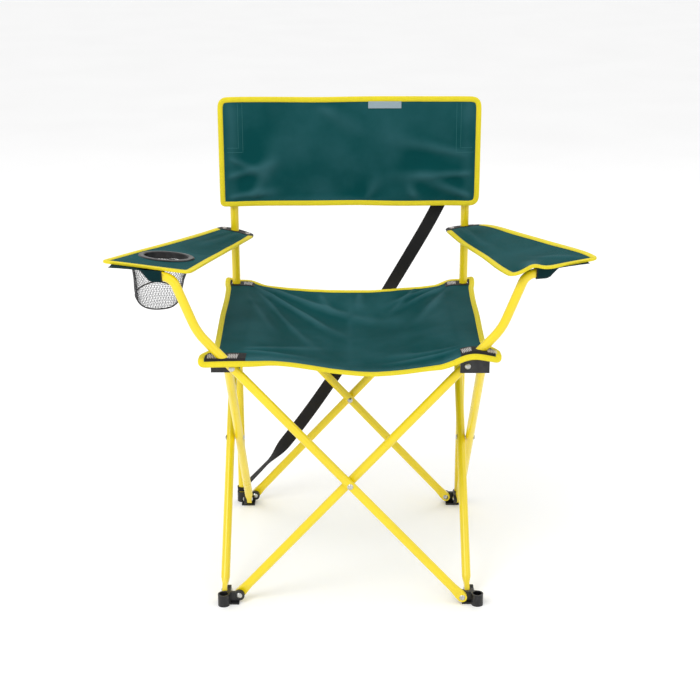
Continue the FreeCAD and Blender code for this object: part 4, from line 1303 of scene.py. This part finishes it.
def cup_net():
    """A knotted net bag under the cup ring, with a corded bottom hoop and two seams."""
    low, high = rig.box("cup_net")
    ring = middle_of("cup_ring")
    mouth, floor = 0.050, 0.0385
    around, rows, cell = 58, 18, 4.8 * MM
    top_middle = Vector((ring.x - 11.5 * MM, ring.y, high.z))
    hoop_middle = Vector((ring.x - 17.5 * MM, ring.y - 2 * MM, low.z + 10.7 * MM))
    hoop_slope = Vector((-0.08, 0.36, 0.0))

    def at(angle, share):
        """share runs from 0 at the mouth to 1 at the hoop, and on to 2 at the floor's middle."""
        down = min(share, 1.0)
        radius = lerp(mouth, floor, down) * (1 - 0.02 * math.sin(5 * angle + 2) * down)
        if share > 1:
            radius *= max(2 - share, 0.0)
        centre = lerp(top_middle, hoop_middle, down)
        off = Vector((radius * math.cos(angle), radius * math.sin(angle), 0.0))
        rise = lerp(ARM_OUTWARD * -off.x - ARM_FORWARD * off.y, hoop_slope.dot(off), down)
        sag = 3 * MM * math.sin(math.pi / 2 * (share - 1)) if share > 1 else 0.0
        slack = 1.2 * MM * noise.noise(Vector((math.cos(angle) * 2, math.sin(angle) * 2, share * 3)))
        return centre + off * (1 + slack / 0.04) + UP * (rise - sag)

    points, faces = [], []
    for r in range(rows + 1):
        for n in range(around):
            points.append(at(2 * math.pi * (n + 0.5 * (r % 2)) / around, r / rows))
    for r in range(rows - 1):
        for n in range(around):
            shifted = r % 2
            faces.append((r * around + n, (r + 1) * around + (n + shifted) % around,
                          (r + 2) * around + n, (r + 1) * around + (n - 1 + shifted) % around))
    wall, count = len(points), math.ceil(floor / cell)
    columns = 2 * count + 1
    for i in range(-count, count + 1):
        for j in range(-count, count + 1):
            points.append(at(math.atan2(j, i), 2 - min(math.hypot(i, j) * cell / floor, 1.0)))
    for i in range(-count, count):
        for j in range(-count, count):
            corners = ((i, j), (i + 1, j), (i + 1, j + 1), (i, j + 1))
            if sum(math.hypot(*c) * cell < floor for c in corners) >= 2:
                faces.append(tuple(wall + (a + count) * columns + b + count for a, b in corners))
    mesh = bpy.data.meshes.new("net_cells")
    mesh.from_pydata([tuple(p) for p in points], [], faces)
    cells = bpy.data.objects.new("net_cells", mesh)
    bpy.context.scene.collection.objects.link(cells)
    wire = cells.modifiers.new("wire", "WIREFRAME")
    wire.thickness = 0.75 * MM
    wire.use_even_offset = False
    bpy.context.view_layer.update()
    solid = bpy.data.meshes.new_from_object(cells.evaluated_get(bpy.context.evaluated_depsgraph_get()))
    co = [v.co.copy() for v in solid.vertices]
    polygons = [tuple(p.vertices) for p in solid.polygons]
    bpy.data.objects.remove(cells)
    net = build("cup_net_mesh", co, polygons, [tuple(p) for p in co], NET, "left_arm", "net", sharp=80.0)
    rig.replaces(net, "cup_net")
    steps = 96
    hoop = [at(2 * math.pi * k / steps, 1.0) for k in range(steps)]
    cord_mesh("cup_net_hoop", hoop, 1.3 * MM, NET_CORD, "left_arm", "net", closed=True)
    rim = [at(2 * math.pi * k / steps, 0.03) for k in range(steps)]
    cord_mesh("cup_net_rim", rim, 1.1 * MM, NET_CORD, "left_arm", "net", closed=True)
    for label, angle in (("left", math.radians(212)), ("right", math.radians(20))):
        seam = [at(angle + 0.05 * math.sin(4 * share), share) for share in np.linspace(0.0, 1.0, 30)]
        cord_mesh(f"cup_net_seam_{label}", seam, 1.0 * MM, NET_CORD, "left_arm", "net")


cup_net()


# ---------------------------------------------------------------- seat corner patches

PATCH_FRONT = (0.017, 0.094)
PATCH_REAR = (0.925, 0.98)
PATCH_LIFT = 1.0 * MM


def seat_patch(name, which, surface, s_span, t_span, body, squash_on, hole, tacks):
    """Black webbing sewn on a corner of the sling, with white bar tacks."""
    def cover(s, t):
        base = surface(lerp(*s_span, s), lerp(*t_span, t))
        return base + UP * PATCH_LIFT
    size = ((cover(1, 0.5) - cover(0, 0.5)).length, (cover(0.5, 1) - cover(0.5, 0)).length)
    patch = cloth_sheet(name, cover, size, 1.4 * MM, 0.9 * MM, WEBBING, body, slot="webbing", hole=hole)
    rows = []
    for s, t in tacks:
        here = cover(s, t) + UP * 0.25 * MM
        along = (cover(min(s + 0.05, 1), t) - cover(max(s - 0.05, 0), t)).normalized()
        across = (cover(s, min(t + 0.05, 1)) - cover(s, max(t - 0.05, 0))).normalized()
        rows.append(zigzag(here, along, across, UP, 17 * MM, size[1] * 0.72, 6))
    pieces = []
    if rows:
        pieces.append(bar_tacks(f"{name}_tacks", rows, body, 0.5 * MM))
    draw_in([patch] + pieces, squash_on)
    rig.sheet(patch, flat=size, held="laid", rests_on=[f"seat_edge_cloth_{which}"], with_pieces=pieces)


def seat_patches():
    """Webbing on the sling's four corners; on the left front it reaches past the fold."""
    for which, side in SIDES.items():
        strip, slider = seat_strip(side), f"{which}_slider"
        tacks = [(0.19, 0.45), (0.80, 0.5)] if side < 0 else [(0.17, 0.45), (0.93, 0.5)]
        seat_patch(f"seat_patch_front_{which}", which, strip, (0.0, 0.85), PATCH_FRONT, slider,
                   STRIP_SQUASH, None, tacks)
        if side < 0:
            seat_patch(f"seat_patch_front_end_{which}", which, seat_inner(side), (0.94, 1.0), PATCH_FRONT,
                       f"seat_{which}", SEAT_SQUASH, None, [])
        seat_patch(f"seat_patch_rear_{which}", which, strip, (0.04, 0.86), PATCH_REAR, slider,
                   STRIP_SQUASH, post_hole(side), [(0.27, 0.5)])


seat_patches()


# ---------------------------------------------------------------- studio

def studio():
    """A pale floor that reaches past the view, a bright even sky and two large soft lights."""
    bpy.ops.mesh.primitive_grid_add(x_subdivisions=2, y_subdivisions=2, size=80.0)
    floor = bpy.context.object
    floor.name = "floor"
    m = Nodes("floor", Specular_IOR_Level=0.05, Emission_Color=(1, 1, 1, 1), Emission_Strength=0.12)
    tone = m.ramp(m.noise(1.5), [(0.3, (0.93, 0.93, 0.93, 1)), (0.7, (0.96, 0.96, 0.96, 1))])
    floor.data.materials.append(m.join(tone, m.span(m.noise(3.0), 0.3, 0.7, 0.8, 0.9)))
    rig.stage(floor)
    world = bpy.data.worlds.new("sky")
    world.use_nodes = True
    world.node_tree.nodes["Background"].inputs["Color"].default_value = (1, 1, 1, 1)
    world.node_tree.nodes["Background"].inputs["Strength"].default_value = 0.86
    bpy.context.scene.world = world
    lights = (("key", (-1.7, -2.0, 3.0), 1.8, 44.0), ("fill", (2.2, -1.6, 2.2), 2.4, 12.0),
              ("back", (0.3, 2.6, 2.8), 2.4, 18.0))
    for name, place, size, power in lights:
        light = bpy.data.lights.new(name, "AREA")
        light.size = size
        light.energy = power
        lamp = bpy.data.objects.new(name, light)
        lamp.location = place
        lamp.rotation_euler = (Vector((0, 0, 0.45)) - Vector(place)).to_track_quat("-Z", "Y").to_euler()
        bpy.context.scene.collection.objects.link(lamp)
    bpy.context.scene.view_settings.view_transform = "Standard"


studio()

json.dump({"cad": [list(p) for p in cad_box], "visual": [list(p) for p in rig.bounds()]},
          open("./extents.json", "w"))
